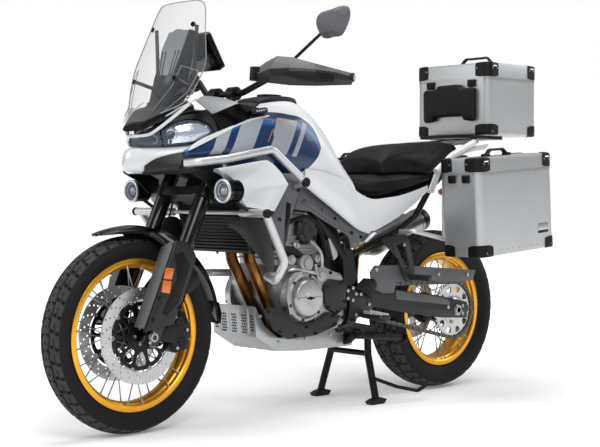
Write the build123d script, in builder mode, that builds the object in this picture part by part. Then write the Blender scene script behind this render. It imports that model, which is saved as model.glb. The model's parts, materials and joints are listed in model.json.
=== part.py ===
from build123d import *
from math import asin, atan2, cos, degrees, pi, radians, sin, tan
import os

# Adventure motorcycle with wire-spoked wheels, crash bars and three aluminium cases.
# Millimetres. +Z up, -Y the direction of travel, +X the machine's left side.
# Origin: bottom centre of the bounding box, on the ground.
# A place is given by its distance behind the front axle, its height above the ground
# and its distance to the left of the centre plane.

os.makedirs("parts", exist_ok=True)

# ---------------------------------------------------------------- driving dimensions
wheelbase = 1531
front_tyre_radius = 329          # 110/80-19
front_tyre_width = 112
front_rim_lip_radius = 254
front_rim_half_width = 38
rear_tyre_radius = 321           # 150/70-17
rear_tyre_width = 150
rear_rim_lip_radius = 230
rear_rim_half_width = 58
rear_wheel_lift = 4              # rear tyre above the ground on the centre stand
rim_wall = 5
tyre_wall = 9
spoke_diameter = 4
spokes_a_side = 16

rake = 25                        # degrees, steering axis back from vertical
axle_offset = 41                 # axle ahead of the steering axis, square to it
fork_offset = 26                 # fork legs ahead of the steering axis
fork_half_spacing = 105
fork_tube_diameter = 54
stanchion_diameter = 43
yoke_thickness = 32
lower_yoke_place = 505           # along the steering axis, from the axle's foot on it
upper_yoke_place = 800
steering_tube_diameter = 56
steering_stem_diameter = 30

axle_diameter = 22
running_gap = 0.5                # round axles and pins that turn
seat_gap = 0.3                   # between pieces bolted or laid together
front_disc_radius = 160
front_disc_place = 62
disc_thickness = 5
carrier_radius = 116
rear_disc_radius = 130
rear_disc_place = 104
rear_disc_boss_radius = 44

chain_place = 112                # chain line, left of centre
chain_pitch = 15.875
sprocket_teeth = 44
drive_sprocket_teeth = 16
drive_sprocket_distance = 835
drive_sprocket_height = 415
sprocket_thickness = 8
chain_plate_height = 15
chain_plate_thickness = 2.5
chain_half_width = 8             # across its rollers
chain_roller_diameter = 9

swingarm_pivot_distance = 905
swingarm_pivot_height = 423
frame_tube_diameter = 36
subframe_tube_diameter = 24
frame_half_width = 112           # main spars
spar_front_distance = 480        # bends at the ends of the main spar's upper run
spar_front_height = 872
spar_back_distance = 700
spar_back_height = 768
pivot_plate_place = 124          # inner face of the plates that carry the swingarm
pivot_plate_thickness = 14

bar_tube_diameter = 28           # crash bars
handlebar_diameter = 22
handlebar_half_width = 425
handlebar_clamp_distance = 415
handlebar_clamp_height = 1145

screen_thickness = 4
screen_half_width = 198          # at its widest
screen_arc_radius = 334          # of its upper part

case_wall = 2.5
case_corner = 30
lid_gap = 0.4
top_case_back_distance = 1985
top_case_length = 330
top_case_width = 384
top_case_bottom_height = 1036
top_case_body_height = 232
top_case_lid_height = 64
pannier_length = 458
pannier_width = 193
pannier_inner_place = 292
pannier_front_distance = 1232
pannier_seam_height = 868        # at its front edge
pannier_body_height = 312
pannier_lid_height = 58
pannier_pitch = 4                # degrees, rear end up

stand_pivot_distance = 1050
stand_pivot_height = 271
stand_tube_diameter = 28
stand_forward = 14               # feet ahead of the pivot when the stand is down
side_stand_distance = 900
side_stand_height = 262
side_stand_place = 150
side_stand_length = 267
side_stand_splay = 35            # degrees, its pivot bolt tipped up from level
side_stand_droop = 6             # degrees, its leg below level when folded

# ---------------------------------------------------------------- derived places
overall_length = front_tyre_radius + top_case_back_distance
front_axle_y = front_tyre_radius - overall_length / 2
rear_axle_y = front_axle_y + wheelbase
rear_axle_height = rear_tyre_radius + rear_wheel_lift


def behind(distance):
    """Y of a place given by its distance behind the front axle"""
    return front_axle_y + distance


def place(left, distance, height):
    """Point from its distance left of centre, behind the front axle, and height"""
    return (left, behind(distance), height)


# Steering frame: z up the steering axis, -y forward and square to it, 0 at the axle
steering_plane = Plane(
    origin=(
        0,
        front_axle_y + axle_offset * cos(radians(rake)),
        front_tyre_radius - axle_offset * sin(radians(rake)),
    ),
    x_dir=(1, 0, 0),
    z_dir=(0, sin(radians(rake)), cos(radians(rake))),
)


def steering_point(left, back, up):
    """World point from its place in the steering frame"""
    return steering_plane.from_local_coords(Vector(left, back, up))


# ---------------------------------------------------------------- shared shapes
def side_plate(points, left_from, left_to, mode=Mode.ADD):
    """Flat piece between two distances from the centre plane.

    Its side-view outline has straight edges between (distance, height) points.
    """
    with BuildSketch(Plane.YZ.offset(left_from)) as face:
        with BuildLine():
            Polyline(*[(behind(distance), height) for distance, height in points], close=True)
        make_face()
    extrude(face.sketch, amount=left_to - left_from, mode=mode)


def tube(points, diameter, bend):
    """Round tube or rod along a route of straight runs and bends of one radius"""
    with BuildLine() as route:
        FilletPolyline(*points, radius=bend)
    with BuildSketch(Plane(origin=route.line @ 0, z_dir=route.line % 0)) as section:
        Circle(diameter / 2)
    sweep(section.sketch, path=route.line)


def rod(start, end, diameter, mode=Mode.ADD):
    """Straight round rod between two points, or with Mode.SUBTRACT a hole"""
    axis = Vector(*end) - Vector(*start)
    with BuildSketch(Plane(origin=start, z_dir=axis)) as section:
        Circle(diameter / 2)
    extrude(section.sketch, amount=axis.length, mode=mode)


def station_panel(stations, wall):
    """Panel lofted through upright cross-sections.

    Each row of stations is a distance behind the front axle and the outer line there,
    as (left, height) points; wall is how far inwards, as (left, height), its inner line
    lies.
    """
    sections = []
    for distance, line in stations:
        inner = [(left - wall[0], height - wall[1]) for left, height in reversed(line)]
        with BuildSketch(Plane.XZ.offset(-behind(distance))) as section:
            with BuildLine():
                Polyline(*line, *inner, close=True)
            make_face()
        sections.append(section.sketch)
    loft(sections, ruled=True)


def station_body(stations):
    """Closed symmetric body lofted through upright sections.

    Each row of stations is a distance behind the front axle and the left half of the
    outline there, as (left, height) points from the bottom to the top.
    """
    sections = []
    for distance, half in stations:
        other_half = [(-left, height) for left, height in reversed(half)]
        with BuildSketch(Plane.XZ.offset(-behind(distance))) as section:
            with BuildLine():
                Polyline(*half, *other_half, close=True)
            make_face()
        sections.append(section.sketch)
    loft(sections, ruled=True)


def wheel_ring(axle_y, axle_height, points):
    """Ring about a wheel axle; its section has straight edges between (left, radius) points"""
    with BuildSketch(Plane.XZ.offset(-axle_y)) as section:
        with BuildLine():
            Polyline(*[(left, axle_height + radius) for left, radius in points], close=True)
        make_face()
    revolve(section.sketch, axis=Axis((0, axle_y, axle_height), (1, 0, 0)))


def round_block(axle_y, axle_height, left_from, left_to, radius, mode=Mode.ADD):
    """Disc or drum on a wheel axle"""
    with BuildSketch(Plane.YZ.offset(left_from)) as section:
        with Locations((axle_y, axle_height)):
            Circle(radius)
    extrude(section.sketch, amount=left_to - left_from, mode=mode)


# ---------------------------------------------------------------- wheels and tyres
def rim_and_spokes(axle_y, axle_height, lip_radius, half_width, hub_radius, flange_place):
    """Rim, hub barrel with two flanges, and the crossed spokes between them"""
    seat_radius = lip_radius - 12
    well_radius = lip_radius - 26
    wheel_ring(
        axle_y, axle_height, [
            (-half_width, lip_radius), (4 - half_width, lip_radius),
            (5 - half_width, seat_radius), (18 - half_width, seat_radius - 1),
            (24 - half_width, well_radius), (half_width - 24, well_radius),
            (half_width - 18, seat_radius - 1), (half_width - 5, seat_radius),
            (half_width - 4, lip_radius), (half_width, lip_radius),
            (half_width, seat_radius - rim_wall), (half_width - 18, seat_radius - 1 - rim_wall),
            (half_width - 24, well_radius - rim_wall), (24 - half_width, well_radius - rim_wall),
            (18 - half_width, seat_radius - 1 - rim_wall), (-half_width, seat_radius - rim_wall),
        ],
    )
    round_block(axle_y, axle_height, -flange_place, flange_place, hub_radius * 0.6)
    for left in (-flange_place - 3, flange_place - 3):
        round_block(axle_y, axle_height, left, left + 6, hub_radius)
    rim_end = seat_radius - 1 - rim_wall / 2
    for side in (-1, 1):
        for index in range(spokes_a_side):
            hub_angle = radians(360 / spokes_a_side * (index + (0.5 if side > 0 else 0)))
            lean = radians(38) * (1 if index % 2 else -1)
            rim_angle = hub_angle + lean * 0.5
            start = (
                side * flange_place,
                axle_y + (hub_radius - 5) * cos(hub_angle - lean),
                axle_height + (hub_radius - 5) * sin(hub_angle - lean),
            )
            end = (
                side * (half_width - 14),
                axle_y + rim_end * cos(rim_angle),
                axle_height + rim_end * sin(rim_angle),
            )
            rod(start, end, spoke_diameter)


def tyre(axle_y, axle_height, outer_radius, width, lip_radius, half_width):
    """Hollow tyre whose beads lie between the rim's lips"""
    bead_radius = lip_radius - 12 + seat_gap
    bead_place = half_width - 5 - seat_gap
    belly_radius = (outer_radius + lip_radius) / 2
    shoulder_place = width / 2 - 6
    shoulder_radius = outer_radius - 17
    half = width / 2
    with BuildSketch(Plane.XZ.offset(-axle_y)) as section:
        with BuildLine():
            for outer in (0, 1):
                gap = tyre_wall * (1 - outer)
                top = axle_height + outer_radius - gap * 1.2
                shoulder = (shoulder_place - gap, axle_height + shoulder_radius - gap)
                belly = (half - gap, axle_height + belly_radius)
                neck = (bead_place + 1 - gap, axle_height + lip_radius + 5)
                ThreePointArc((-shoulder[0], shoulder[1]), (0, top), shoulder)
                ThreePointArc(shoulder, belly, neck)
                ThreePointArc((-shoulder[0], shoulder[1]), (-belly[0], belly[1]), (-neck[0], neck[1]))
                Line(neck, (bead_place - gap, axle_height + bead_radius))
                Line((-neck[0], neck[1]), (gap - bead_place, axle_height + bead_radius))
            for side in (-1, 1):
                Line(
                    (side * bead_place, axle_height + bead_radius),
                    (side * (bead_place - tyre_wall), axle_height + bead_radius),
                )
        make_face()
    revolve(section.sketch, axis=Axis((0, axle_y, axle_height), (1, 0, 0)))


def disc_carrier(axle_y, axle_height, side, disc_place, hub_radius):
    """Boss and windowed plate that carry a brake disc"""
    inner = min(side * 30, side * disc_place)
    outer = max(side * 30, side * disc_place)
    round_block(axle_y, axle_height, inner, outer, hub_radius)
    plate_from = side * disc_place - disc_thickness / 2
    round_block(
        axle_y, axle_height, plate_from, plate_from + disc_thickness, carrier_radius - seat_gap
    )
    with BuildSketch(Plane.YZ.offset(plate_from)) as windows:
        with Locations((axle_y, axle_height)):
            with PolarLocations(hub_radius + (carrier_radius - hub_radius) / 2, 10):
                Circle(17)
    extrude(windows.sketch, amount=disc_thickness, mode=Mode.SUBTRACT)


def brake_disc(axle_y, axle_height, place_left, radius):
    """Flat brake disc round its carrier"""
    left = place_left - disc_thickness / 2
    with BuildSketch(Plane.YZ.offset(left)) as section:
        with Locations((axle_y, axle_height)):
            Circle(radius)
            Circle(carrier_radius, mode=Mode.SUBTRACT)
    extrude(section.sketch, amount=disc_thickness)


with BuildPart() as front_wheel:
    rim_and_spokes(
        front_axle_y, front_tyre_radius, front_rim_lip_radius, front_rim_half_width, 44, 33
    )
    for side in (-1, 1):
        disc_carrier(front_axle_y, front_tyre_radius, side, front_disc_place, 40)
    rod(
        (-90, front_axle_y, front_tyre_radius), (90, front_axle_y, front_tyre_radius),
        axle_diameter + 2 * running_gap, Mode.SUBTRACT,
    )

with BuildPart() as front_tyre:
    tyre(
        front_axle_y, front_tyre_radius, front_tyre_radius, front_tyre_width,
        front_rim_lip_radius, front_rim_half_width,
    )

with BuildPart() as front_discs:
    for side in (-1, 1):
        brake_disc(front_axle_y, front_tyre_radius, side * front_disc_place, front_disc_radius)

with BuildPart() as rear_wheel:
    rim_and_spokes(
        rear_axle_y, rear_axle_height, rear_rim_lip_radius, rear_rim_half_width, 62, 48
    )
    round_block(rear_axle_y, rear_axle_height, 40, chain_place - sprocket_thickness / 2, 56)
    round_block(
        rear_axle_y, rear_axle_height, -rear_disc_place - disc_thickness / 2, -40,
        rear_disc_boss_radius,
    )
    rod(
        (-130, rear_axle_y, rear_axle_height), (130, rear_axle_y, rear_axle_height),
        axle_diameter + 2 * running_gap, Mode.SUBTRACT,
    )

with BuildPart() as rear_tyre:
    tyre(
        rear_axle_y, rear_axle_height, rear_tyre_radius, rear_tyre_width,
        rear_rim_lip_radius, rear_rim_half_width,
    )

with BuildPart() as rear_disc:
    with BuildSketch(Plane.YZ.offset(-rear_disc_place - disc_thickness / 2)):
        with Locations((rear_axle_y, rear_axle_height)):
            Circle(rear_disc_radius)
            Circle(rear_disc_boss_radius + seat_gap, mode=Mode.SUBTRACT)
            with PolarLocations(73, 6):
                Circle(20, mode=Mode.SUBTRACT)
    extrude(amount=disc_thickness)

sprocket_pitch_radius = chain_pitch / 2 / sin(pi / sprocket_teeth)
drive_pitch_radius = chain_pitch / 2 / sin(pi / drive_sprocket_teeth)

with BuildPart() as rear_sprocket:
    with BuildSketch(Plane.YZ.offset(chain_place - sprocket_thickness / 2)):
        with Locations((rear_axle_y, rear_axle_height)):
            Circle(sprocket_pitch_radius + 4.5)
            with PolarLocations(sprocket_pitch_radius, sprocket_teeth, start_angle=90):
                Circle(5.2, mode=Mode.SUBTRACT)
            Circle(axle_diameter / 2 + 9, mode=Mode.SUBTRACT)
            with PolarLocations(78, 10):
                Circle(13, mode=Mode.SUBTRACT)
    extrude(amount=sprocket_thickness)

# ---------------------------------------------------------------- fork and steering
fork_foot = 24                   # bottom of the lower legs, along the steering axis


def fork_leg_line(side, low, high):
    """Two points on a fork leg's centre line"""
    return (
        steering_point(side * fork_half_spacing, -fork_offset, low),
        steering_point(side * fork_half_spacing, -fork_offset, high),
    )


with BuildPart() as fork_legs:
    for side in (-1, 1):
        rod(*fork_leg_line(side, 330, upper_yoke_place + yoke_thickness + 6), fork_tube_diameter)
        rod(*fork_leg_line(side, 30, 340), stanchion_diameter)
        with BuildSketch(steering_plane.offset(-24)):
            with Locations((side * fork_half_spacing, -fork_offset - 6)):
                RectangleRounded(40, 58, 12)
        extrude(amount=110)
    # wheel axle, clamped in both lugs
    rod(
        (-135, front_axle_y, front_tyre_radius), (135, front_axle_y, front_tyre_radius),
        axle_diameter,
    )

with BuildPart() as fork_yokes:
    for along in (lower_yoke_place, upper_yoke_place):
        with BuildSketch(steering_plane.offset(along)):
            with Locations((0, -fork_offset)):
                Rectangle(2 * fork_half_spacing, 58)
            with Locations((-fork_half_spacing, -fork_offset), (fork_half_spacing, -fork_offset)):
                Circle(fork_tube_diameter / 2 + 11)
            Circle(38)
            with Locations((-fork_half_spacing, -fork_offset), (fork_half_spacing, -fork_offset)):
                Circle(fork_tube_diameter / 2 + seat_gap, mode=Mode.SUBTRACT)
        extrude(amount=yoke_thickness)
    rod(
        steering_point(0, 0, lower_yoke_place + 5),
        steering_point(0, 0, upper_yoke_place + yoke_thickness + 12), steering_stem_diameter,
    )

clamp_inner_place = 30
clamp_width = 36
handlebar_route = [
    (0, 0, 0), (95, 0, 0), (205, 52, 58), (handlebar_half_width, 180, 45),
]

with BuildPart() as handlebar:
    tube(
        [
            place(left, handlebar_clamp_distance + back, handlebar_clamp_height + up)
            for left, back, up in handlebar_route
        ],
        handlebar_diameter, 38,
    )
    # clamp and riser, standing on the upper yoke
    with BuildSketch(Plane.YZ.offset(clamp_inner_place)):
        with Locations((behind(handlebar_clamp_distance), handlebar_clamp_height)):
            Circle(24)
    extrude(amount=clamp_width)
    clamp_place = steering_plane.to_local_coords(
        Vector(*place(clamp_inner_place + clamp_width / 2, handlebar_clamp_distance,
                      handlebar_clamp_height))
    )
    rod(
        steering_point(clamp_place.X, clamp_place.Y, upper_yoke_place + yoke_thickness + seat_gap),
        steering_point(clamp_place.X, clamp_place.Y, clamp_place.Z - 8), 34,
    )
    mirror(about=Plane.YZ)


def bar_point(share, further_back=0, further_up=0):
    """Point by the left end run of the handlebar, from 0 at its last bend to 1 at its end"""
    inner = handlebar_route[2]
    outer = handlebar_route[3]
    left, back, up = [a + (b - a) * share for a, b in zip(inner, outer)]
    return place(
        left, handlebar_clamp_distance + back + further_back,
        handlebar_clamp_height + up + further_up,
    )


with BuildPart() as hand_controls:
    # grip, switch housing, lever perch and lever
    rod(bar_point(0.46), bar_point(0.96), 34)
    rod(bar_point(0.24), bar_point(0.47), 46)
    rod(bar_point(0.15), bar_point(1.02), handlebar_diameter + 2 * seat_gap, Mode.SUBTRACT)
    rod(bar_point(0.34, -20, 0), bar_point(0.50, -62, -2), 14)
    tube(
        [
            bar_point(0.48, -60, -2), bar_point(0.70, -72, -4), bar_point(0.92, -66, -6),
        ],
        11, 60,
    )
    mirror(about=Plane.YZ)

mirror_distance = 549
mirror_height = 1372
mirror_left = 395

with BuildPart() as mirrors:
    with BuildSketch(Plane.XZ.offset(-behind(mirror_distance - 12))):
        with BuildLine():
            Polyline(
                (mirror_left - 70, mirror_height - 5), (mirror_left - 58, mirror_height + 38),
                (mirror_left + 62, mirror_height + 52), (mirror_left + 76, mirror_height + 15),
                (mirror_left + 40, mirror_height - 42), (mirror_left - 40, mirror_height - 46),
                close=True,
            )
        make_face()
    extrude(amount=-34, taper=8)
    tube(
        [
            bar_point(0.30, 0, 25.8), bar_point(0.36, -30, 66),
            place(mirror_left - 30, mirror_distance + 6, mirror_height - 12),
        ],
        13, 24,
    )
    mirror(about=Plane.YZ)

# Hand guards: (left, distance, height of centre, depth) at stations from inboard to bar end
guard_stations = [
    (208, 372, 1207, 54), (262, 362, 1210, 92), (330, 385, 1208, 100),
    (395, 440, 1200, 84), (440, 530, 1192, 56), (446, 600, 1190, 40),
]

with BuildPart() as handguards:
    guard_sections = []
    for index, (left, distance, height, depth) in enumerate(guard_stations):
        before = guard_stations[max(index - 1, 0)]
        after = guard_stations[min(index + 1, len(guard_stations) - 1)]
        along = Vector(after[0] - before[0], after[1] - before[1], 0)
        with BuildSketch(
            Plane(origin=place(left, distance, height), x_dir=(0, 0, 1), z_dir=along)
        ) as guard_section:
            Rectangle(depth, 5)
        guard_sections.append(guard_section.sketch)
    loft(guard_sections, ruled=True)
    rod(bar_point(1.002), bar_point(1.11), 26)
    rod(place(232, 368, 1206), bar_point(0.12, -16.5, 0), 12)
    mirror(about=Plane.YZ)

# ---------------------------------------------------------------- front fender and guards
fender_clearance = 29
fender_sections = [
    # degrees round from straight up (back positive), half width at the top, drop at the edge
    (-24, 30, 6), (-10, 66, 26), (6, 77.5, 34), (28, 77.5, 52), (48, 74, 40), (86, 62, 26),
]

with BuildPart() as front_fender:
    fender_arcs = []
    for angle, half_width, drop in fender_sections:
        radial = Plane(
            origin=place(0, 0, front_tyre_radius), x_dir=(1, 0, 0),
            z_dir=(0, -cos(radians(angle)), sin(radians(angle))),
        )
        crown = front_tyre_radius + fender_clearance
        with BuildSketch(radial) as fender_arc:
            with BuildLine():
                Polyline(
                    (-half_width, crown - drop), (-half_width * 0.6, crown - 4), (0, crown),
                    (half_width * 0.6, crown - 4), (half_width, crown - drop),
                    (half_width - 4, crown - drop), (half_width * 0.6 - 2, crown - 8),
                    (0, crown - 4), (-half_width * 0.6 + 2, crown - 8),
                    (-half_width + 4, crown - drop), close=True,
                )
            make_face()
        fender_arcs.append(fender_arc.sketch)
    loft(fender_arcs, ruled=True)
    # lugs on both fork legs
    leg_inner_place = fork_half_spacing - stanchion_diameter / 2 - seat_gap
    for side in (-1, 1):
        rod(place(side * 66, 146, 605), place(side * leg_inner_place, 146, 605), 16)

guard_outline = [
    # side view of the fork guard: distance, height
    (128, 640), (168, 596), (158, 548), (104, 430), (74, 366), (-28, 352),
    (-41, 360), (10, 470), (66, 600), (84, 640),
]
guard_place = 136
guard_thickness = 6

with BuildPart() as fork_guards:
    side_plate(guard_outline, guard_place, guard_place + guard_thickness)
    # front wall, round the leg
    side_plate(
        [(-41, 360), (10, 470), (66, 600), (84, 640), (77, 644), (60, 602), (4, 472), (-48, 360)],
        90, guard_place + guard_thickness,
    )
    side_plate(
        [(10, 360), (46, 360), (52, 378), (18, 378)],
        fork_half_spacing + stanchion_diameter / 2 + seat_gap, guard_place,
    )
    mirror(about=Plane.YZ)

disc_slot = disc_thickness + 5    # width of a caliper's slot
disc_slot_depth = 4               # of the slot past the disc's edge
with BuildPart() as front_calipers:
    side_plate([(98, 394), (158, 402), (182, 344), (166, 276), (118, 266), (102, 300)], 40, 96)
    side_plate([(34.8, 312.8), (104, 300), (104, 380), (60.2, 367.2)], 84, 112)
    round_block(
        front_axle_y, front_tyre_radius, front_disc_place - disc_slot / 2,
        front_disc_place + disc_slot / 2, front_disc_radius + disc_slot_depth, Mode.SUBTRACT,
    )
    mirror(about=Plane.YZ)

# ---------------------------------------------------------------- frame
stay_outline = [(300, 838), (338, 950), (150, 1004), (62, 1000), (62, 900), (160, 872)]
stay_half_width = 20
side_stand_bolt = Vector(cos(radians(side_stand_splay)), 0, sin(radians(side_stand_splay)))
side_stand_pivot = Vector(*place(side_stand_place, side_stand_distance, side_stand_height))
stand_pin_diameter = 12
stand_bracket_place = 109

with BuildPart() as frame:
    rod(
        steering_point(0, 0, lower_yoke_place + yoke_thickness + 4),
        steering_point(0, 0, upper_yoke_place - 4), steering_tube_diameter,
    )
    for route, diameter in (
        # left main spar, down tube, seat rail and lower rail
        ([place(30, 345, 960), place(96, spar_front_distance, spar_front_height),
          place(frame_half_width, spar_back_distance, spar_back_height),
          place(pivot_plate_place + 4, 884, 556)], frame_tube_diameter),
        ([place(70, 430, 900), place(88, 500, 760), place(88, 549.5, 657)], frame_tube_diameter),
        ([place(frame_half_width, 708, 762), place(108, 900, 735), place(108, 1060, 735),
          place(104, 1300, 775), place(100, 1420, 830), place(96, 1560, 925)],
         subframe_tube_diameter),
        ([place(pivot_plate_place, 916, 563), place(124, 1180, 648), place(112, 1300, 705),
          place(102, 1440, 866)], subframe_tube_diameter),
    ):
        tube(route, diameter, 40)
    side_plate(
        [(866, 590), (918, 590), (950, 470), (950, 380), (925, 300), (880, 290), (866, 340),
         (876, 470)],
        pivot_plate_place, pivot_plate_place + pivot_plate_thickness,
    )
    # engine mounts: on the down tube in front, on the pivot plate behind
    side_plate([(535, 644), (569.2, 644), (565.5, 680), (535, 680)], 72, 104)
    side_plate([(850.3, 335), (872, 335), (872, 365), (850.3, 365)], 122, 131.8)
    side_plate(
        [(890, 322), (925, 318), (1000, 304), (1066, 291), (1066, 256), (1034, 252), (990, 284),
         (900, 296)],
        stand_bracket_place, stand_bracket_place + 10,
    )
    rod(
        place(stand_bracket_place - 28, stand_pivot_distance, stand_pivot_height),
        place(stand_bracket_place + 4, stand_pivot_distance, stand_pivot_height),
        stand_pin_diameter,
    )
    mirror(about=Plane.YZ)
    for distance, height, half_width, diameter in (
        # cross tubes: above the swingarm, below it, its pivot bolt, shock mount, seat rails
        (895, 560, pivot_plate_place + 2, 28), (905, 310, pivot_plate_place + 2, 28),
        (swingarm_pivot_distance, swingarm_pivot_height, pivot_plate_place + 2, axle_diameter),
        (900, 735, 108, subframe_tube_diameter), (1100, 746, 106, subframe_tube_diameter),
    ):
        rod(place(-half_width, distance, height), place(half_width, distance, height), diameter)
    side_plate(stay_outline, -stay_half_width, stay_half_width)
    side_plate(
        [(878, 304), (925, 304), (925, 240), (885, 236)], pivot_plate_place,
        pivot_plate_place + 10,
    )
    rod(side_stand_pivot - side_stand_bolt * 22, side_stand_pivot - side_stand_bolt * 0.5, 28)
    rod(
        side_stand_pivot - side_stand_bolt * 10, side_stand_pivot + side_stand_bolt * 22,
        stand_pin_diameter,
    )
    rod(
        steering_point(0, 0, lower_yoke_place + yoke_thickness + 2),
        steering_point(0, 0, upper_yoke_place - 2),
        steering_stem_diameter + 2 * running_gap, Mode.SUBTRACT,
    )

# ---------------------------------------------------------------- engine and exhaust
engine_half_width = 132
alternator_distance = 648
alternator_height = 425
with BuildPart() as engine:
    side_plate(
        [(566, 420), (650, 300), (850, 300), (850, 500), (790, 520), (770, 540), (590, 540),
         (560, 480)], -engine_half_width, engine_half_width,
    )
    side_plate([(850, 300), (862, 320), (862, 480), (850, 500)], -92, 92)
    side_plate(
        [(590, 540), (570, 640), (562, 716), (690, 724), (742, 650), (770, 540)], -118, 118
    )
    side_plate(
        [(772, 350), (850, 350), (850, 480), (772, 480)], 96, engine_half_width, Mode.SUBTRACT
    )
    round_block(
        behind(drive_sprocket_distance), drive_sprocket_height, 90,
        chain_place + sprocket_thickness / 2, drive_pitch_radius - chain_plate_height / 2 - 0.4,
    )

with BuildPart() as engine_covers:
    # alternator cover, sprocket cover, head cover and lower guard on the left
    round_block(
        behind(alternator_distance), alternator_height, engine_half_width + seat_gap, 178, 84
    )
    round_block(behind(alternator_distance), alternator_height, 178, 198, 70)
    side_plate(
        [(716, 545), (790, 520), (850, 500), (862, 480), (862, 330), (850, 312), (716, 312)],
        engine_half_width + seat_gap, 158,
    )
    round_block(behind(690), 666, 118 + seat_gap, 142, 49)
    side_plate(
        [(450, 396), (560, 398), (585, 345), (650, 330), (720, 345), (772, 366), (832, 350),
         (805, 312), (705, 286), (566, 282), (500, 320), (472, 362)], 160, 166,
    )
    side_plate(
        [(660, 301), (780, 301), (780, 309), (660, 309)], engine_half_width + seat_gap, 162
    )

exhaust_diameter = 42
muffler_start = Vector(*place(-192, 1332, 571))
muffler_end = Vector(*place(-196, 1700, 690))
muffler_axis = muffler_end - muffler_start

with BuildPart() as exhaust:
    for left in (-48, 48):
        tube(
            [place(left, 575.2, 612), place(left, 492, 595), place(left * 0.9, 536, 420),
             place(left * 0.6, 616, 272), place(left * 0.6, 800, 272)],
            exhaust_diameter, 45,
        )
    side_plate([(720, 251), (720, 294), (900, 294), (900, 251)], -60, 60)
    tube(
        [place(-40, 780, 272), place(-158, 866, 272), place(-166, 1000, 285),
         place(-184, 1120, 315), place(-192, 1262, 430), place(-192, 1274, 552),
         muffler_start + muffler_axis * 0.02],
        exhaust_diameter, 40,
    )
    rod(muffler_start, muffler_start + muffler_axis * 0.16, 76)
    rod(muffler_start + muffler_axis * 0.15, muffler_end, 104)
    rod(muffler_end - muffler_axis * 0.04, muffler_end + muffler_axis * 0.02, 40)

# ---------------------------------------------------------------- radiator, skid plate, bars
radiator_half_width = 176
with BuildPart() as radiator:
    side_plate(
        [(399, 590), (429, 600), (370, 772), (340, 760)], -radiator_half_width,
        radiator_half_width,
    )
    for left in (-92, 76):
        # arms back to the frame's down tubes
        side_plate([(382, 704), (499.6, 704), (499.6, 718), (380, 718)], left, left + 16)

skid_half_width = 112
skid_flange = [
    (452, 402), (458, 398), (500, 330), (566, 284), (705, 290), (840, 300 - seat_gap), (940, 250),
    (940, 227), (690, 228), (556, 237), (460, 294),
]
with BuildPart() as skid_plate:
    side_plate(
        [(452, 402), (458, 398), (468, 300), (560, 244), (690, 234), (940, 232), (940, 227),
         (690, 228), (556, 237), (460, 294)], -skid_half_width, skid_half_width,
    )
    side_plate(skid_flange, skid_half_width, skid_half_width + 4)
    # the right flange is low where the exhaust crosses it
    side_plate(
        [(452, 402), (458, 398), (500, 330), (566, 284), (705, 284), (744, 246), (940, 244),
         (940, 227), (690, 228), (556, 237), (460, 294)], -skid_half_width - 4, -skid_half_width,
    )

crash_bar_upper = [
    (143, 118, 896), (176, 150, 900), (204, 250, 912), (222, 440, 948), (214, 596, 842),
    (127, 612, 815),
]
with BuildPart() as crash_bars:
    tube([place(*point) for point in crash_bar_upper], bar_tube_diameter, 34)
    tube(
        [place(184, 334, 731), place(300, 300, 731), place(352, 294, 731)],
        bar_tube_diameter, 30,
    )
    tube(
        [place(340, 300, 735), place(312, 415, 566), place(290, 392, 500), place(150, 480, 508),
         place(117, 564.6, 506)],
        bar_tube_diameter, 34,
    )
    mirror(about=Plane.YZ)
    rod(place(-186, 333, 731), place(186, 333, 731), 14)


def crash_bar_clearance():
    """Channels that body panels leave round the upper crash bar"""
    for start, end in zip(crash_bar_upper, crash_bar_upper[1:]):
        rod(place(*start), place(*end), bar_tube_diameter + 12, Mode.SUBTRACT)
    for point in crash_bar_upper[1:-1]:
        with Locations(place(*point)):
            Sphere(bar_tube_diameter / 2 + 6, mode=Mode.SUBTRACT)


fog_light_left = 250
fog_light_distance = 194
fog_light_height = 805
with BuildPart() as fog_lights:
    rod(
        place(fog_light_left, fog_light_distance - 4, fog_light_height),
        place(fog_light_left, fog_light_distance + 18, fog_light_height), 80,
    )
    rod(
        place(fog_light_left, fog_light_distance + 17, fog_light_height),
        place(fog_light_left, fog_light_distance + 70, fog_light_height), 66,
    )
    rod(
        place(fog_light_left, fog_light_distance + 50, fog_light_height - 30),
        place(fog_light_left, fog_light_distance + 107, fog_light_height - 64), 14,
    )
    mirror(about=Plane.YZ)

# ---------------------------------------------------------------- bodywork


def spar_top(distance):
    """Height of the main spar's upper edge at a distance, along its front run"""
    fall = spar_front_height - spar_back_height
    run_angle = atan2(fall, spar_back_distance - spar_front_distance)
    centre = spar_front_height - (distance - spar_front_distance) * tan(run_angle)
    return centre + frame_tube_diameter / 2 / cos(run_angle)


with BuildPart() as fuel_tank:
    station_body([
        (474, [(112, 904), (182, 908), (186, 946), (166, 1046), (112, 1092), (60, 1100)]),
        (570, [(112, 856), (182, 880), (188, 950), (166, 1052), (112, 1104), (66, 1128)]),
        (690, [(120, 800), (172, 850), (182, 930), (158, 1040), (110, 1096), (62, 1128)]),
        (790, [(124, 800), (160, 815), (168, 900), (138, 985), (92, 1040), (50, 1060)]),
        (868, [(124, 790), (152, 800), (156, 850), (128, 905), (84, 950), (40, 962)]),
        (926, [(122, 790), (146, 796), (148, 812), (122, 852), (80, 878), (30, 884)]),
    ])
    for side in (-1, 1):
        # rubber pad on the main spar
        side_plate(
            [(586, spar_top(586) + seat_gap), (614, spar_top(614) + seat_gap), (614, 846),
             (586, 852)], side * 105 - 7, side * 105 + 7,
        )
    with BuildSketch(Plane.XY.offset(1090)):
        with Locations((0, behind(612))):
            RectangleRounded(150, 200, 40)
    extrude(amount=54, taper=14)

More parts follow.
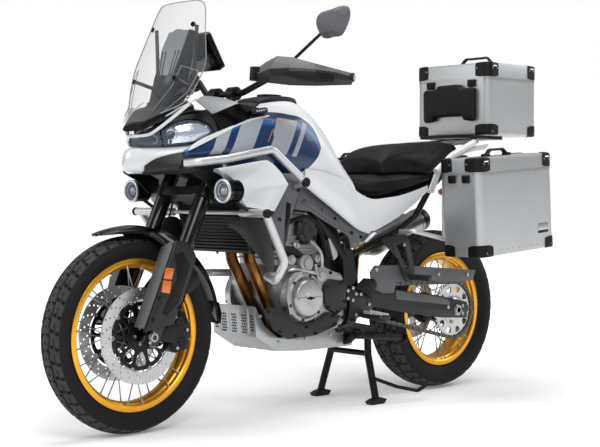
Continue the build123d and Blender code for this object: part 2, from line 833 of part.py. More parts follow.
with BuildPart() as tank_wings:
    station_panel(
        [
            (118, [(150, 916), (158, 934), (150, 952)]),
            (246, [(170, 946), (183, 964), (168, 1004)]),
            (300, [(174, 902), (188, 944), (172, 1026)]),
            (380, [(180, 880), (194, 942), (176, 1046)]),
            (473.5, [(184, 880), (196, 944), (178, 1058)]),
        ],
        (8, 0),
    )
    crash_bar_clearance()
    mirror(about=Plane.YZ)

with BuildPart() as side_panels:
    # white flank between the tank and the tail
    station_panel(
        [
            (634, [(183, 830), (189, 868), (190, 884)]),
            (780, [(176, 748), (182, 790), (178, 862)]),
            (927, [(168, 668), (172, 720), (160, 800)]),
            (980, [(162, 640), (168, 700), (160, 778)]),
            (1160, [(158, 706), (164, 740), (160, 788)]),
            (1330, [(148, 800), (152, 815), (150, 828)]),
        ],
        (5, 0),
    )
    rod(place(120 + seat_gap, 1060, 735), place(160, 1060, 735), 16)
    # panel behind the rider's seat
    side_plate(
        [(1335, 796), (1372, 796), (1420, 890), (1500, 938), (1486, 958), (1400, 906)], 140, 146
    )
    side_plate([(1344, 796), (1370, 796), (1370, 810), (1344, 810)], 117, 141)
    mirror(about=Plane.YZ)

with BuildPart() as side_covers:
    # dark inner covers below the flanks
    side_plate(
        [(560, 836), (610, 836), (780, 744), (985, 644), (936, 610), (850, 656), (751, 700),
         (690, 730), (600, 736), (580, 690), (548, 640), (528, 570), (476, 684), (462, 700)],
        146, 150,
    )
    side_plate(
        [(660, 772), (690, 772), (690, 790), (660, 790)],
        frame_half_width + frame_tube_diameter / 2 + seat_gap, 146,
    )
    crash_bar_clearance()
    # cowl outside each end of the radiator
    station_panel(
        [
            (268, [(206, 690), (206, 712)]), (400, [(226, 560), (232, 716)]),
            (430, [(214, 528), (226, 660)]), (486, [(196, 546), (200, 566)]),
        ],
        (6, 0),
    )
    side_plate(
        [(376, 650), (404, 650), (400, 690), (372, 680)], radiator_half_width + seat_gap, 222
    )
    # cover low on each side of the nose, back to the crash bars
    station_panel(
        [
            (20, [(96, 862), (112, 874), (108, 892)]),
            (120, [(146, 866), (160, 884), (152, 908)]),
            (244, [(168, 884), (178, 915), (172, 938)]),
        ],
        (10, 0),
    )
    crash_bar_clearance()
    rod(place(114, 80, 890), place(132, 80, 888), 12)
    mirror(about=Plane.YZ)

with BuildPart() as radiator_shrouds:
    # outer pods round the lamps: outer and inner outlines in side view
    shroud_sections = []
    for left, outline in (
        (198, [(236, 868), (430, 900), (540, 836), (470, 722), (332, 752)]),
        (246, [(182, 876), (400, 906), (494, 829), (424, 734), (298, 762)]),
    ):
        with BuildSketch(Plane.YZ.offset(left)) as shroud_section:
            with BuildLine():
                Polyline(*[(behind(distance), height) for distance, height in outline], close=True)
            make_face()
        shroud_sections.append(shroud_section.sketch)
    loft(shroud_sections, ruled=True)
    rod(
        place(fog_light_left, 100, fog_light_height), place(fog_light_left, 300, fog_light_height),
        100, Mode.SUBTRACT,
    )
    crash_bar_clearance()
    rod(place(radiator_half_width + seat_gap, 352, 770), place(200, 352, 770), 16)
    mirror(about=Plane.YZ)

with BuildPart() as front_cowl:
    station_body([
        (-14, [(20, 866), (44, 872), (52, 900), (40, 940)]),
        (40, [(60, 866), (86, 876), (96, 910), (84, 946)]),
        (120, [(96, 876), (128, 888), (140, 920), (128, 958)]),
    ])
    side_plate(
        stay_outline, -stay_half_width - seat_gap, stay_half_width + seat_gap, Mode.SUBTRACT
    )

with BuildPart() as headlight:
    station_body([
        (6, [(34, 947), (54, 956), (62, 980), (40, 1004)]),
        (70, [(80, 953), (106, 964), (112, 994), (84, 1026)]),
        (150, [(110, 970), (138, 984), (144, 1012), (116, 1048)]),
    ])
    side_plate(
        stay_outline, -stay_half_width - seat_gap, stay_half_width + seat_gap, Mode.SUBTRACT
    )

with BuildPart() as screen_trim:
    # band and cover between the lamp and the windscreen
    station_body([
        (10, [(50, 1006), (58, 1012), (50, 1024)]),
        (100, [(96, 1036.7), (120, 1050), (112, 1078)]),
        (190, [(110, 1058), (150, 1076), (146, 1112)]),
    ])

screen_sections = [
    # height, distance of the centre line, bend radius, half width
    (1032, 8.6, 200, 60), (1060, 30, 203, 99), (1088, 45, 203, 148), (1150, 74, 280, 180),
    (1220, 104, screen_arc_radius, screen_half_width), (1345, 162, screen_arc_radius, 155),
    (1448, 206, screen_arc_radius, 122),
]

with BuildPart() as windscreen:
    screen_bands = []
    for height, distance, bend_radius, half_width in screen_sections:
        half_angle = asin(half_width / bend_radius)
        centre = behind(distance) + bend_radius
        with BuildSketch(Plane.XY.offset(height)) as screen_band:
            with BuildLine():
                for radius in (bend_radius, bend_radius - screen_thickness):
                    ThreePointArc(
                        (-radius * sin(half_angle), centre - radius * cos(half_angle)),
                        (0, centre - radius),
                        (radius * sin(half_angle), centre - radius * cos(half_angle)),
                    )
                for side in (-1, 1):
                    Line(*[
                        (side * radius * sin(half_angle), centre - radius * cos(half_angle))
                        for radius in (bend_radius, bend_radius - screen_thickness)
                    ])
            make_face()
        screen_bands.append(screen_band.sketch)
    loft(screen_bands, ruled=True)

display_tilt = 31                # degrees, face up from straight back
display_width = 176
display_height = 136
display_thickness = 22
tower_half_width = 58
with BuildPart() as instrument_tower:
    side_plate(
        [
            (100, 1078.5), (190, 1112.6), (204, 1150), (250, 1330), (236, 1350), (214, 1350),
            (182, 1280), (150, 1190), (128, 1110),
        ],
        -tower_half_width, tower_half_width,
    )
    for low, high in (((96, 196, 1170), (110, 201, 1361)), ((90, 190, 1152), (111, 114, 1177))):
        for side in (-1, 1):
            rod(place(side * low[0], low[1], low[2]), place(side * high[0], high[1], high[2]), 13)
    rod(place(-100, 196, 1165), place(100, 196, 1165), 22)
    side_plate([(205, 1230), (300, 1256), (292, 1284), (215, 1262)], -14, 14)
    # display, facing the rider
    with BuildSketch(
        Plane(
            origin=place(0, 292, 1278), x_dir=(1, 0, 0),
            z_dir=(0, cos(radians(display_tilt)), sin(radians(display_tilt))),
        )
    ) as display_face:
        RectangleRounded(display_width, display_height, 10)
    extrude(display_face.sketch, amount=display_thickness)

# ---------------------------------------------------------------- seats and tail
with BuildPart() as rider_seat:
    station_body([
        (930, [(66, 822), (86, 830), (84, 850), (50, 866)]),
        (1000, [(100, 796), (124, 804), (120, 834), (80, 862)]),
        (1080, [(120, 790), (150, 798), (142, 838), (90, 862)]),
        (1200, [(126, 806), (156, 814), (148, 850), (100, 872)]),
        (1392, [(112, 842), (132, 850), (128, 868), (100, 876)]),
    ])

with BuildPart() as passenger_seat:
    station_body([
        (1098, [(94, 878), (114, 885), (108, 914), (74, 928)]),
        (1150, [(100, 876), (128, 884), (119, 940), (85, 964)]),
        (1250, [(104, 874.4), (136, 886), (124, 956), (88, 986)]),
        (1392, [(104, 876.3), (134, 890), (122, 967), (85, 999)]),
        (1420, [(104, 888), (132, 900), (122, 970), (84, 1002)]),
        (1590, [(84, 964), (100, 972), (94, 990), (70, 1004)]),
    ])

with BuildPart() as tail_unit:
    station_body([
        (1230, [(80, 760), (90, 768), (90, 802), (80, 811.2)]),
        (1394, [(74, 800), (84, 806), (84, 834), (74, 842)]),
        (1400, [(74, 803), (84, 810), (84, 870), (74, 877)]),
        (1600, [(60, 896), (72, 902), (72, 948), (60, 954)]),
        (1688, [(50, 920), (60, 926), (60, 950), (50, 956)]),
    ])
    side_plate([(1640, 925), (1684, 925), (1800, 740), (1780, 730)], -36, 36)
    for side in (-1, 1):
        # spacers to the seat rails
        rod(place(side * 84, 1256, 768), place(side * 92.3, 1256, 768), 12)
    side_plate([(1764, 760), (1794, 760), (1846, 640), (1836, 636)], -92, 92)

with BuildPart() as rear_lamps:
    side_plate(
        [(1688 + seat_gap, 922), (1700, 924), (1700, 948), (1688 + seat_gap, 952)], -54, 54
    )
    for side in (-1, 1):
        rod(place(side * 36.3, 1752, 800), place(side * 120, 1752, 800), 12)
        rod(place(side * 112, 1752, 800), place(side * 150, 1752, 800), 30)

with BuildPart() as grab_rails:
    tube(
        [place(158.5, 1370, 884), place(160, 1470, 950), place(154, 1610, 1004),
         place(96, 1698, 1010)],
        24, 40,
    )
    mirror(about=Plane.YZ)
    rod(place(-98, 1698, 1010), place(98, 1698, 1010), 24)

rack_bottom_height = 1022
with BuildPart() as luggage_rack:
    with BuildSketch(Plane.XY.offset(rack_bottom_height)):
        with Locations((0, behind(1720))):
            RectangleRounded(230, 300, 30)
            with GridLocations(80, 110, 2, 2):
                RectangleRounded(56, 80, 12, mode=Mode.SUBTRACT)
    extrude(amount=top_case_bottom_height - rack_bottom_height - seat_gap)

with BuildPart() as pannier_racks:
    rack_left = pannier_inner_place - 22
    tube(
        [
            place(rack_left, 1300, 880), place(rack_left, 1640, 900), place(rack_left, 1650, 640),
            place(rack_left, 1290, 616), place(rack_left, 1290, 860),
        ],
        18, 26,
    )
    tube(
        [place(136.6, 1184, 650), place(200, 1190, 652), place(rack_left, 1310, 618)], 18, 24
    )
    tube([place(111.8, 1552, 926), place(200, 1590, 925), place(rack_left, 1600, 898)], 18, 24)
    for distance, height in ((1370, 884), (1570, 896), (1370, 621), (1570, 634)):
        # pads that the case hangs on
        rod(
            place(rack_left, distance, height),
            place(pannier_inner_place - seat_gap, distance, height), 26,
        )
    mirror(about=Plane.YZ)

# ---------------------------------------------------------------- cases


def hollow_case(plane, length, width, low, high, corner, open_top):
    """Thin-walled case half standing on a plane, open above or below"""
    with BuildSketch(plane.offset(low)) as outer:
        RectangleRounded(width, length, corner)
    extrude(outer.sketch, amount=high - low)
    floor = low + case_wall if open_top else low
    roof = high if open_top else high - case_wall
    with BuildSketch(plane.offset(floor)) as inner:
        RectangleRounded(width - 2 * case_wall, length - 2 * case_wall, corner - case_wall)
    extrude(inner.sketch, amount=roof - floor, mode=Mode.SUBTRACT)


def carry_handle(plane, height, span, rise):
    """Strap handle over the middle of a lid, along the plane's x axis"""
    with BuildSketch(Plane(origin=plane.from_local_coords(Vector(0, -11, height)),
                           x_dir=plane.x_dir, z_dir=-plane.y_dir)) as strap:
        with BuildLine():
            Polyline(
                (-span / 2, 0), (-span / 2, rise * 0.7), (-span / 2 + 16, rise),
                (span / 2 - 16, rise), (span / 2, rise * 0.7), (span / 2, 0),
                (span / 2 - 14, 0), (span / 2 - 14, rise * 0.6), (span / 2 - 20, rise - 9),
                (-span / 2 + 20, rise - 9), (-span / 2 + 14, rise * 0.6), (-span / 2 + 14, 0),
                close=True,
            )
        make_face()
    extrude(strap.sketch, amount=-22)


top_case_centre_distance = top_case_back_distance - top_case_length / 2
top_case_plane = Plane(origin=place(0, top_case_centre_distance, top_case_bottom_height))

with BuildPart() as top_case:
    hollow_case(
        top_case_plane, top_case_length, top_case_width, 0, top_case_body_height, case_corner, True
    )

with BuildPart() as top_case_lid:
    hollow_case(
        top_case_plane, top_case_length, top_case_width, top_case_body_height + lid_gap,
        top_case_body_height + top_case_lid_height, case_corner, False,
    )
    carry_handle(top_case_plane, top_case_body_height + top_case_lid_height - 0.2, 150, 32)

backrest_front_distance = top_case_back_distance - top_case_length - 30
with BuildPart() as backrest:
    side_plate(
        [
            (backrest_front_distance, top_case_bottom_height + 62),
            (backrest_front_distance, top_case_bottom_height + 200),
            (backrest_front_distance + 12, top_case_bottom_height + 216),
            (backrest_front_distance + 30 - seat_gap, top_case_bottom_height + 216),
            (backrest_front_distance + 30 - seat_gap, top_case_bottom_height + 50),
            (backrest_front_distance + 8, top_case_bottom_height + 50),
        ], -150, 150,
    )

pannier_pitch_cosine = cos(radians(pannier_pitch))
pannier_pitch_sine = sin(radians(pannier_pitch))


def pannier_plane(side):
    """Plane of a pannier's floor, its x axis outwards to the left, y back, pitched up"""
    front_seam = Vector(
        side * (pannier_inner_place + pannier_width / 2), behind(pannier_front_distance),
        pannier_seam_height,
    )
    up = Vector(0, -pannier_pitch_sine, pannier_pitch_cosine)
    back = Vector(0, pannier_pitch_cosine, pannier_pitch_sine)
    return Plane(
        origin=front_seam - up * pannier_body_height + back * (pannier_length / 2),
        x_dir=(1, 0, 0), z_dir=up,
    )


with BuildPart() as left_pannier:
    hollow_case(
        pannier_plane(1), pannier_length, pannier_width, 0, pannier_body_height, case_corner, True
    )
with BuildPart() as right_pannier:
    hollow_case(
        pannier_plane(-1), pannier_length, pannier_width, 0, pannier_body_height, case_corner, True
    )
with BuildPart() as left_pannier_lid:
    hollow_case(
        pannier_plane(1), pannier_length, pannier_width, pannier_body_height + lid_gap,
        pannier_body_height + pannier_lid_height, case_corner, False,
    )
    carry_handle(
        pannier_plane(1).rotated((0, 0, 90)), pannier_body_height + pannier_lid_height - 0.2,
        130, 28,
    )
with BuildPart() as right_pannier_lid:
    hollow_case(
        pannier_plane(-1), pannier_length, pannier_width, pannier_body_height + lid_gap,
        pannier_body_height + pannier_lid_height, case_corner, False,
    )
    carry_handle(
        pannier_plane(-1).rotated((0, 0, 90)), pannier_body_height + pannier_lid_height - 0.2,
        130, 28,
    )

# ---------------------------------------------------------------- swingarm and drive
swingarm_half_width = 138
with BuildPart() as swingarm:
    side_plate(
        [(956, 434), (1150, 428), (wheelbase - 91, 385), (wheelbase + 61, 354),
         (wheelbase + 61, 290), (wheelbase - 91, 300), (1150, 345), (956, 392)],
        100, swingarm_half_width,
    )
    round_block(
        rear_axle_y, rear_axle_height, 90, chain_place + sprocket_thickness / 2 + 6,
        rear_disc_radius + 8, Mode.SUBTRACT,
    )
    side_plate([(885, 434), (905, 439), (985, 433), (985, 392), (905, 402), (885, 412)], 76, 118)
    mirror(about=Plane.YZ)
    side_plate([(975, 375), (1070, 360), (1070, 430), (975, 432)], -101, 101)
    rod(
        place(-98, swingarm_pivot_distance, swingarm_pivot_height),
        place(98, swingarm_pivot_distance, swingarm_pivot_height), 50,
    )
    rod(
        place(-120, swingarm_pivot_distance, swingarm_pivot_height),
        place(120, swingarm_pivot_distance, swingarm_pivot_height),
        axle_diameter + 2 * seat_gap, Mode.SUBTRACT,
    )
    rod(
        place(-146, wheelbase, rear_axle_height), place(146, wheelbase, rear_axle_height),
        axle_diameter,
    )

with BuildPart() as shock_absorber:
    rod(place(0, 1004, 452), place(0, 920, 680), 66)
    rod(place(0, 1009, 438), place(0, 904.4, 723), 28)

with BuildPart() as chain:
    for left in (
        chain_place - sprocket_thickness / 2 - 2 - chain_plate_thickness,
        chain_place + sprocket_thickness / 2 + 2,
    ):
        for grow, mode in (
            (chain_plate_height / 2, Mode.ADD), (-chain_plate_height / 2, Mode.SUBTRACT)
        ):
            with BuildSketch(Plane.YZ.offset(left)) as loop:
                with Locations((behind(drive_sprocket_distance), drive_sprocket_height)):
                    Circle(drive_pitch_radius + grow)
                with Locations((rear_axle_y, rear_axle_height)):
                    Circle(sprocket_pitch_radius + grow)
                make_hull()
            extrude(loop.sketch, amount=chain_plate_thickness, mode=mode)
    # rollers along both straight runs, clear of the sprockets
    drive_centre = Vector(behind(drive_sprocket_distance), drive_sprocket_height)
    wheel_centre = Vector(rear_axle_y, rear_axle_height)
    run = wheel_centre - drive_centre
    lean = degrees(atan2(sprocket_pitch_radius - drive_pitch_radius, run.length))
    slope = degrees(atan2(run.Y, run.X))
    for turn in (90 + slope + lean, -90 + slope - lean):
        square = Vector(cos(radians(turn)), sin(radians(turn)))
        start = drive_centre + square * drive_pitch_radius
        end = wheel_centre + square * sprocket_pitch_radius
        for share in (0.2, 0.35, 0.5, 0.65):
            spot = start + (end - start) * share
            rod(
                (chain_place - chain_half_width, spot.X, spot.Y),
                (chain_place + chain_half_width, spot.X, spot.Y), chain_roller_diameter,
            )

with BuildPart() as swingarm_cover:
    side_plate(
        [(1006, 452), (1030, 524), (1185, 520), (wheelbase + 109, 482), (wheelbase + 85, 441),
         (wheelbase - 111, 442), (1126, 458),
         (1150, 438), (1140, 412), (1040, 420)],
        swingarm_half_width + seat_gap, swingarm_half_width + 6,
    )

with BuildPart() as rear_caliper:
    side_plate(
        [(wheelbase - 121, 390.4), (wheelbase - 91, 385.5), (wheelbase - 31, 373.4),
         (wheelbase - 19, 430), (wheelbase - 81, 452), (wheelbase - 129, 430)],
        -132, -84,
    )
    round_block(
        rear_axle_y, rear_axle_height, -rear_disc_place - disc_slot / 2,
        -rear_disc_place + disc_slot / 2, rear_disc_radius + disc_slot_depth, Mode.SUBTRACT,
    )

# ---------------------------------------------------------------- footrests
hanger_place = pivot_plate_place + pivot_plate_thickness + 3
with BuildPart() as footrests:
    side_plate(
        [(876, 442), (930, 436), (1020, 380), (1020, 352), (940, 332), (912, 303), (876, 306),
         (894, 344), (900, 388)], hanger_place, hanger_place + 5,
    )
    rod(
        place(hanger_place - 3 + seat_gap, 905, 423), place(hanger_place + 1, 905, 423), 34
    )
    rod(place(hanger_place + 2, 965, 345), place(270, 960, 335), 26)
    # gear lever on the left, brake pedal on the right
    tube(
        [place(hanger_place + 2, 905, 330), place(178, 900, 328), place(180, 785, 300),
         place(226, 780, 298)],
        11, 16,
    )
    # passenger's plate and peg
    side_plate(
        [(1050, 622), (1090, 632), (1190, 637), (1208, 616), (1240, 495), (1222, 452), (1190, 458),
         (1142, 546)], 160, 166,
    )
    side_plate(
        [(1130, 600), (1180, 606), (1204, 520), (1196, 500)], 158, 168, Mode.SUBTRACT
    )
    rod(place(136.4, 1140, 632), place(162, 1140, 626), 16)
    rod(place(166, 1216, 474), place(262, 1216, 474), 24)
    mirror(about=Plane.YZ)

# ---------------------------------------------------------------- stands
with BuildPart() as centre_stand:
    foot_distance = stand_pivot_distance - stand_forward
    tube(
        [
            place(92, stand_pivot_distance, stand_pivot_height),
            place(100, stand_pivot_distance - 5, stand_pivot_height - 90),
            place(150, foot_distance, 14),
        ],
        stand_tube_diameter, 50,
    )
    side_plate(
        [(foot_distance - 34, 0), (foot_distance + 30, 0), (foot_distance + 46, 16),
         (foot_distance + 12, 26), (foot_distance - 20, 20), (foot_distance - 44, 12)], 134, 166,
    )
    mirror(about=Plane.YZ)
    rod(
        place(-104, stand_pivot_distance, stand_pivot_height),
        place(104, stand_pivot_distance, stand_pivot_height), 30,
    )
    rod(place(-100, stand_pivot_distance - 5, 186), place(100, stand_pivot_distance - 5, 186), 22)
    tube(
        [
            place(132, foot_distance + 3, 96), place(190, stand_pivot_distance + 60, 62),
            place(216, stand_pivot_distance + 150, 40), place(226, stand_pivot_distance + 190, 60),
        ],
        14, 22,
    )
    rod(
        place(-120, stand_pivot_distance, stand_pivot_height),
        place(120, stand_pivot_distance, stand_pivot_height),
        stand_pin_diameter + 2 * running_gap, Mode.SUBTRACT,
    )

with BuildPart() as side_stand:
    side_stand_leg = Vector(
        sin(radians(side_stand_splay)) * sin(radians(side_stand_droop)),
        cos(radians(side_stand_droop)),
        -cos(radians(side_stand_splay)) * sin(radians(side_stand_droop)),
    )
    side_stand_foot = side_stand_pivot + side_stand_leg * side_stand_length
    rod(side_stand_pivot, side_stand_pivot + side_stand_bolt * 24, 30)
    rod(
        side_stand_pivot + side_stand_bolt * 12,
        side_stand_foot + side_stand_bolt * 12, stand_tube_diameter - 6,
    )
    rod(
        side_stand_foot + side_stand_bolt * 12 - side_stand_leg * 8,
        side_stand_foot + side_stand_bolt * 12, 42,
    )
    rod(
        side_stand_pivot - side_stand_bolt * 2, side_stand_pivot + side_stand_bolt * 26,
        stand_pin_diameter + 2 * running_gap, Mode.SUBTRACT,
    )

# ---------------------------------------------------------------- labels and files
nodes = {
    "front_wheel": front_wheel, "front_tyre": front_tyre, "front_discs": front_discs,
    "rear_wheel": rear_wheel, "rear_tyre": rear_tyre, "rear_disc": rear_disc,
    "rear_sprocket": rear_sprocket, "fork_legs": fork_legs, "fork_yokes": fork_yokes,
    "handlebar": handlebar, "hand_controls": hand_controls, "mirrors": mirrors,
    "handguards": handguards, "front_fender": front_fender, "fork_guards": fork_guards,
    "front_calipers": front_calipers, "frame": frame, "engine": engine,
    "engine_covers": engine_covers, "exhaust": exhaust, "radiator": radiator,
    "skid_plate": skid_plate, "crash_bars": crash_bars, "fog_lights": fog_lights,
    "fuel_tank": fuel_tank, "tank_wings": tank_wings, "side_panels": side_panels,
    "side_covers": side_covers, "radiator_shrouds": radiator_shrouds,
    "front_cowl": front_cowl, "headlight": headlight, "screen_trim": screen_trim,
    "windscreen": windscreen, "instrument_tower": instrument_tower, "rider_seat": rider_seat,
    "passenger_seat": passenger_seat, "tail_unit": tail_unit, "rear_lamps": rear_lamps,
    "grab_rails": grab_rails, "luggage_rack": luggage_rack, "pannier_racks": pannier_racks,
    "top_case": top_case, "top_case_lid": top_case_lid, "backrest": backrest,
    "left_pannier": left_pannier, "left_pannier_lid": left_pannier_lid,
    "right_pannier": right_pannier, "right_pannier_lid": right_pannier_lid,
    "swingarm": swingarm, "shock_absorber": shock_absorber, "chain": chain,
    "swingarm_cover": swingarm_cover, "rear_caliper": rear_caliper, "footrests": footrests,
    "centre_stand": centre_stand, "side_stand": side_stand,
}
for name, node in nodes.items():
    node.part.label = name
    export_step(node.part, f"parts/{name}.step")
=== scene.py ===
"""Adventure motorcycle: the finish of each surface and the detail on its construction."""
import json
from math import acos, asin, atan2, cos, exp, pi, radians, sin

import bpy
from bpy.props import FloatProperty, PointerProperty
from bpy.types import Operator, Panel, PropertyGroup
from mathutils import Matrix, Vector

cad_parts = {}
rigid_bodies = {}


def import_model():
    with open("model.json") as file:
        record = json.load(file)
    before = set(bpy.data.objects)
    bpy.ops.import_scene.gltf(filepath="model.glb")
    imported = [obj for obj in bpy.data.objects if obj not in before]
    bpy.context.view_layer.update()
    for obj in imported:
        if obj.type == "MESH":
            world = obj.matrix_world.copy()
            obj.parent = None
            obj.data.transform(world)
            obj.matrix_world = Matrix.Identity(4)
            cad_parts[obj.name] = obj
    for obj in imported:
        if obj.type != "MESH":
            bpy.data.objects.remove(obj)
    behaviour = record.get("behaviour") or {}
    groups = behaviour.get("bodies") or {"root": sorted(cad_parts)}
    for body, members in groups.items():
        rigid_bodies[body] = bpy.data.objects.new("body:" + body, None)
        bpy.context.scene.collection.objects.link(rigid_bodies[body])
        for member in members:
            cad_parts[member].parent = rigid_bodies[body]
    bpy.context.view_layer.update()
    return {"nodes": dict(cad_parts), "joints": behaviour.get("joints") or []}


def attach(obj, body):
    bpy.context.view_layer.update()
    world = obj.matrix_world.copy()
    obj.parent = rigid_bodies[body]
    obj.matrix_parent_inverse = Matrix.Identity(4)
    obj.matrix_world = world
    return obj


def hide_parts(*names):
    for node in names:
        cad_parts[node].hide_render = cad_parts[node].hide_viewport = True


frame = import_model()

bl_info = {
    "name": "Adventure motorcycle",
    "version": (1, 0, 0),
    "blender": (4, 5, 0),
    "location": "View3D > Sidebar > Motorcycle",
    "description": "Builds the visible pieces of a motorcycle round its packed model",
    "category": "Object",
}

MM = 0.001
NODES = frame["nodes"]
JOINTS = {joint["name"]: joint for joint in frame["joints"]}
FRONT_AXLE = Vector(JOINTS["front_wheel_spin"]["pos_m"])
REAR_AXLE = Vector(JOINTS["rear_wheel_spin"]["pos_m"])
STEERING_AXIS = Vector(JOINTS["steering"]["axis"])

# sizes that more than one piece shares, in millimetres: rims at their lips, chain, cases
FRONT_LIP_RADIUS, FRONT_RIM_HALF = 254, 38
REAR_LIP_RADIUS, REAR_RIM_HALF = 230, 58
CHAIN_PITCH = 15.875
DRIVE_TEETH, REAR_TEETH = 16, 44
FORK_OFFSET = 41
PANNIER_LENGTH, PANNIER_WIDTH, PANNIER_BODY_HEIGHT, PANNIER_LID_HEIGHT = 458, 193, 312, 58
TOP_CASE_LENGTH, TOP_CASE_WIDTH, TOP_CASE_BODY_HEIGHT, TOP_CASE_LID_HEIGHT = 330, 384, 232, 64
# a ring of six bolts starts this share of a step round from straight back
BOLT_TURN = 0.9 / pi


def at(left, behind, height):
    """Point from millimetres left of centre, behind the front axle and above the ground"""
    return Vector((left * MM, FRONT_AXLE.y + behind * MM, height * MM))


def on_side(side, *places):
    """Points on the left (side 1) or right (-1), each given as left of centre, behind and height"""
    return [at(side * left, behind, height) for left, behind, height in places]


# ------------------------------------------------------------------ colour and nodes


def linear(hex_colour):
    """Linear colour from an sRGB hex value"""
    channels = [int(hex_colour[index:index + 2], 16) / 255 for index in (1, 3, 5)]
    return tuple(c / 12.92 if c <= 0.04045 else ((c + 0.055) / 1.055) ** 2.4 for c in channels)


def opaque(hex_colour):
    """The same with full alpha, as a colour socket takes it"""
    return (*linear(hex_colour), 1.0)


def add_node(tree, kind, settings=None, **links):
    """Adds a node; each link names an input, as Base_Color or i0, and gives a value or an output"""
    node = tree.nodes.new("ShaderNode" + kind)
    for name, value in (settings or {}).items():
        setattr(node, name, value)
    for name, value in links.items():
        key = int(name[1:]) if name[0] == "i" and name[1:].isdigit() else name.replace("_", " ")
        socket = node.inputs[key]
        if isinstance(value, bpy.types.NodeSocket):
            tree.links.new(value, socket)
        else:
            socket.default_value = value
    return node


def start_material(name):
    """Empty material with its tree, output and Object coordinates"""
    material = bpy.data.materials.new(name)
    material.use_nodes = True
    tree = material.node_tree
    tree.nodes.clear()
    coordinates = add_node(tree, "TexCoord").outputs["Object"]
    return material, tree, coordinates


def surface(
    name, dark, light, metallic=0.0, roughness=0.5, spread=0.12, grain=3.0, patch=60.0,
    bump=0.1, coat=0.0, specular=0.5,
):
    """Material of one substance: two close colours in patches, grain in its gloss and relief

    grain and patch are sizes in millimetres; bump is the relief's strength.
    """
    material, tree, coordinates = start_material(name)
    patches = add_node(tree, "TexNoise", Vector=coordinates, Scale=1000 / patch, Detail=4.0)
    fine = add_node(tree, "TexNoise", Vector=coordinates, Scale=1000 / grain, Detail=3.0)
    colour = add_node(
        tree, "Mix", {"data_type": "RGBA"}, i0=patches.outputs["Fac"], i6=opaque(dark),
        i7=opaque(light),
    )
    gloss = add_node(
        tree, "MapRange", Value=fine.outputs["Fac"], To_Min=max(roughness - spread, 0.02),
        To_Max=min(roughness + spread, 1.0),
    )
    relief = add_node(
        tree, "Bump", Height=fine.outputs["Fac"], Strength=bump, Distance=grain * 0.15 * MM,
    )
    shader = add_node(
        tree, "BsdfPrincipled", Base_Color=colour.outputs[2], Metallic=metallic,
        Roughness=gloss.outputs["Result"], Normal=relief.outputs["Normal"], Coat_Weight=coat,
        Coat_Roughness=0.04, Specular_IOR_Level=specular,
    )
    add_node(tree, "OutputMaterial", Surface=shader.outputs["BSDF"])
    return material


def glazing(name, colour, alpha, edge):
    """Clear sheet plastic that shows what is behind it and catches light at its edges"""
    material, tree, coordinates = start_material(name)
    facing = add_node(tree, "LayerWeight", Blend=0.35)
    wear = add_node(tree, "TexNoise", Vector=coordinates, Scale=40.0, Detail=6.0)
    thickness = add_node(
        tree, "MapRange", Value=facing.outputs["Facing"], To_Min=alpha, To_Max=alpha + edge,
    )
    haze = add_node(
        tree, "MapRange", Value=wear.outputs["Fac"], To_Min=0.03, To_Max=0.08,
    )
    shader = add_node(
        tree, "BsdfPrincipled", Base_Color=opaque(colour), Roughness=haze.outputs["Result"],
        Alpha=thickness.outputs["Result"], Specular_IOR_Level=0.5, Coat_Weight=0.15,
        Coat_Roughness=0.02,
    )
    add_node(tree, "OutputMaterial", Surface=shader.outputs["BSDF"])
    return material


def tyre_rubber():
    """Vulcanised rubber: dusty grey on the tread blocks, black on the walls, and black in the
    grooves as painted shade
    """
    material, tree, coordinates = start_material("moulded_tyre_rubber")
    tread = add_node(tree, "Attribute", {"attribute_name": "tread"}).outputs["Fac"]
    dust = add_node(tree, "TexNoise", Vector=coordinates, Scale=26.0, Detail=6.0)
    grit = add_node(tree, "TexNoise", Vector=coordinates, Scale=1000 / 1.4, Detail=3.0)
    block = blend(tree, dust.outputs["Fac"], opaque("#29292A"), opaque("#454546"))
    # black of the walls, which the grooves take too as painted shade
    wall = blend(tree, dust.outputs["Fac"], opaque("#0A0A0B"), opaque("#161617"))
    colour = blend(tree, tread, wall, block)
    relief = add_node(
        tree, "Bump", Height=grit.outputs["Fac"], Strength=0.3, Distance=0.0003
    )
    shader = add_node(
        tree, "BsdfPrincipled", Base_Color=colour, Roughness=0.68, Specular_IOR_Level=0.25,
        Normal=relief.outputs["Normal"],
    )
    add_node(tree, "OutputMaterial", Surface=shader.outputs["BSDF"])
    return material


def heat_tinted_steel():
    """Stainless exhaust pipe, straw to bronze where it has run hot, streaked along its length"""
    material, tree, coordinates = start_material("heat_tinted_stainless_steel")
    scaled = add_node(tree, "Mapping", Vector=coordinates, Scale=(1, 1, 0.3)).outputs["Vector"]
    streaks = add_node(tree, "TexNoise", Vector=scaled, Scale=22.0, Detail=3.0, Distortion=0.6)
    tint = add_node(tree, "ValToRGB", Fac=streaks.outputs["Fac"])
    ramp = tint.color_ramp
    for position, colour in ((0.36, "#5A3A1C"), (0.5, "#80552A"), (0.62, "#A0733F")):
        ramp.elements.new(position).color = opaque(colour)
    ramp.elements[0].color = opaque("#20160F")
    ramp.elements[-1].color = opaque("#8F7F6A")
    shader = add_node(
        tree, "BsdfPrincipled", Base_Color=tint.outputs["Color"], Metallic=1.0, Roughness=0.32,
    )
    add_node(tree, "OutputMaterial", Surface=shader.outputs["BSDF"])
    return material


def blend(tree, factor, low, high):
    """Colour that goes from low to high as a 0 to 1 factor rises"""
    return add_node(
        tree, "Mix", {"data_type": "RGBA"}, i0=factor, i6=low, i7=high
    ).outputs[2]


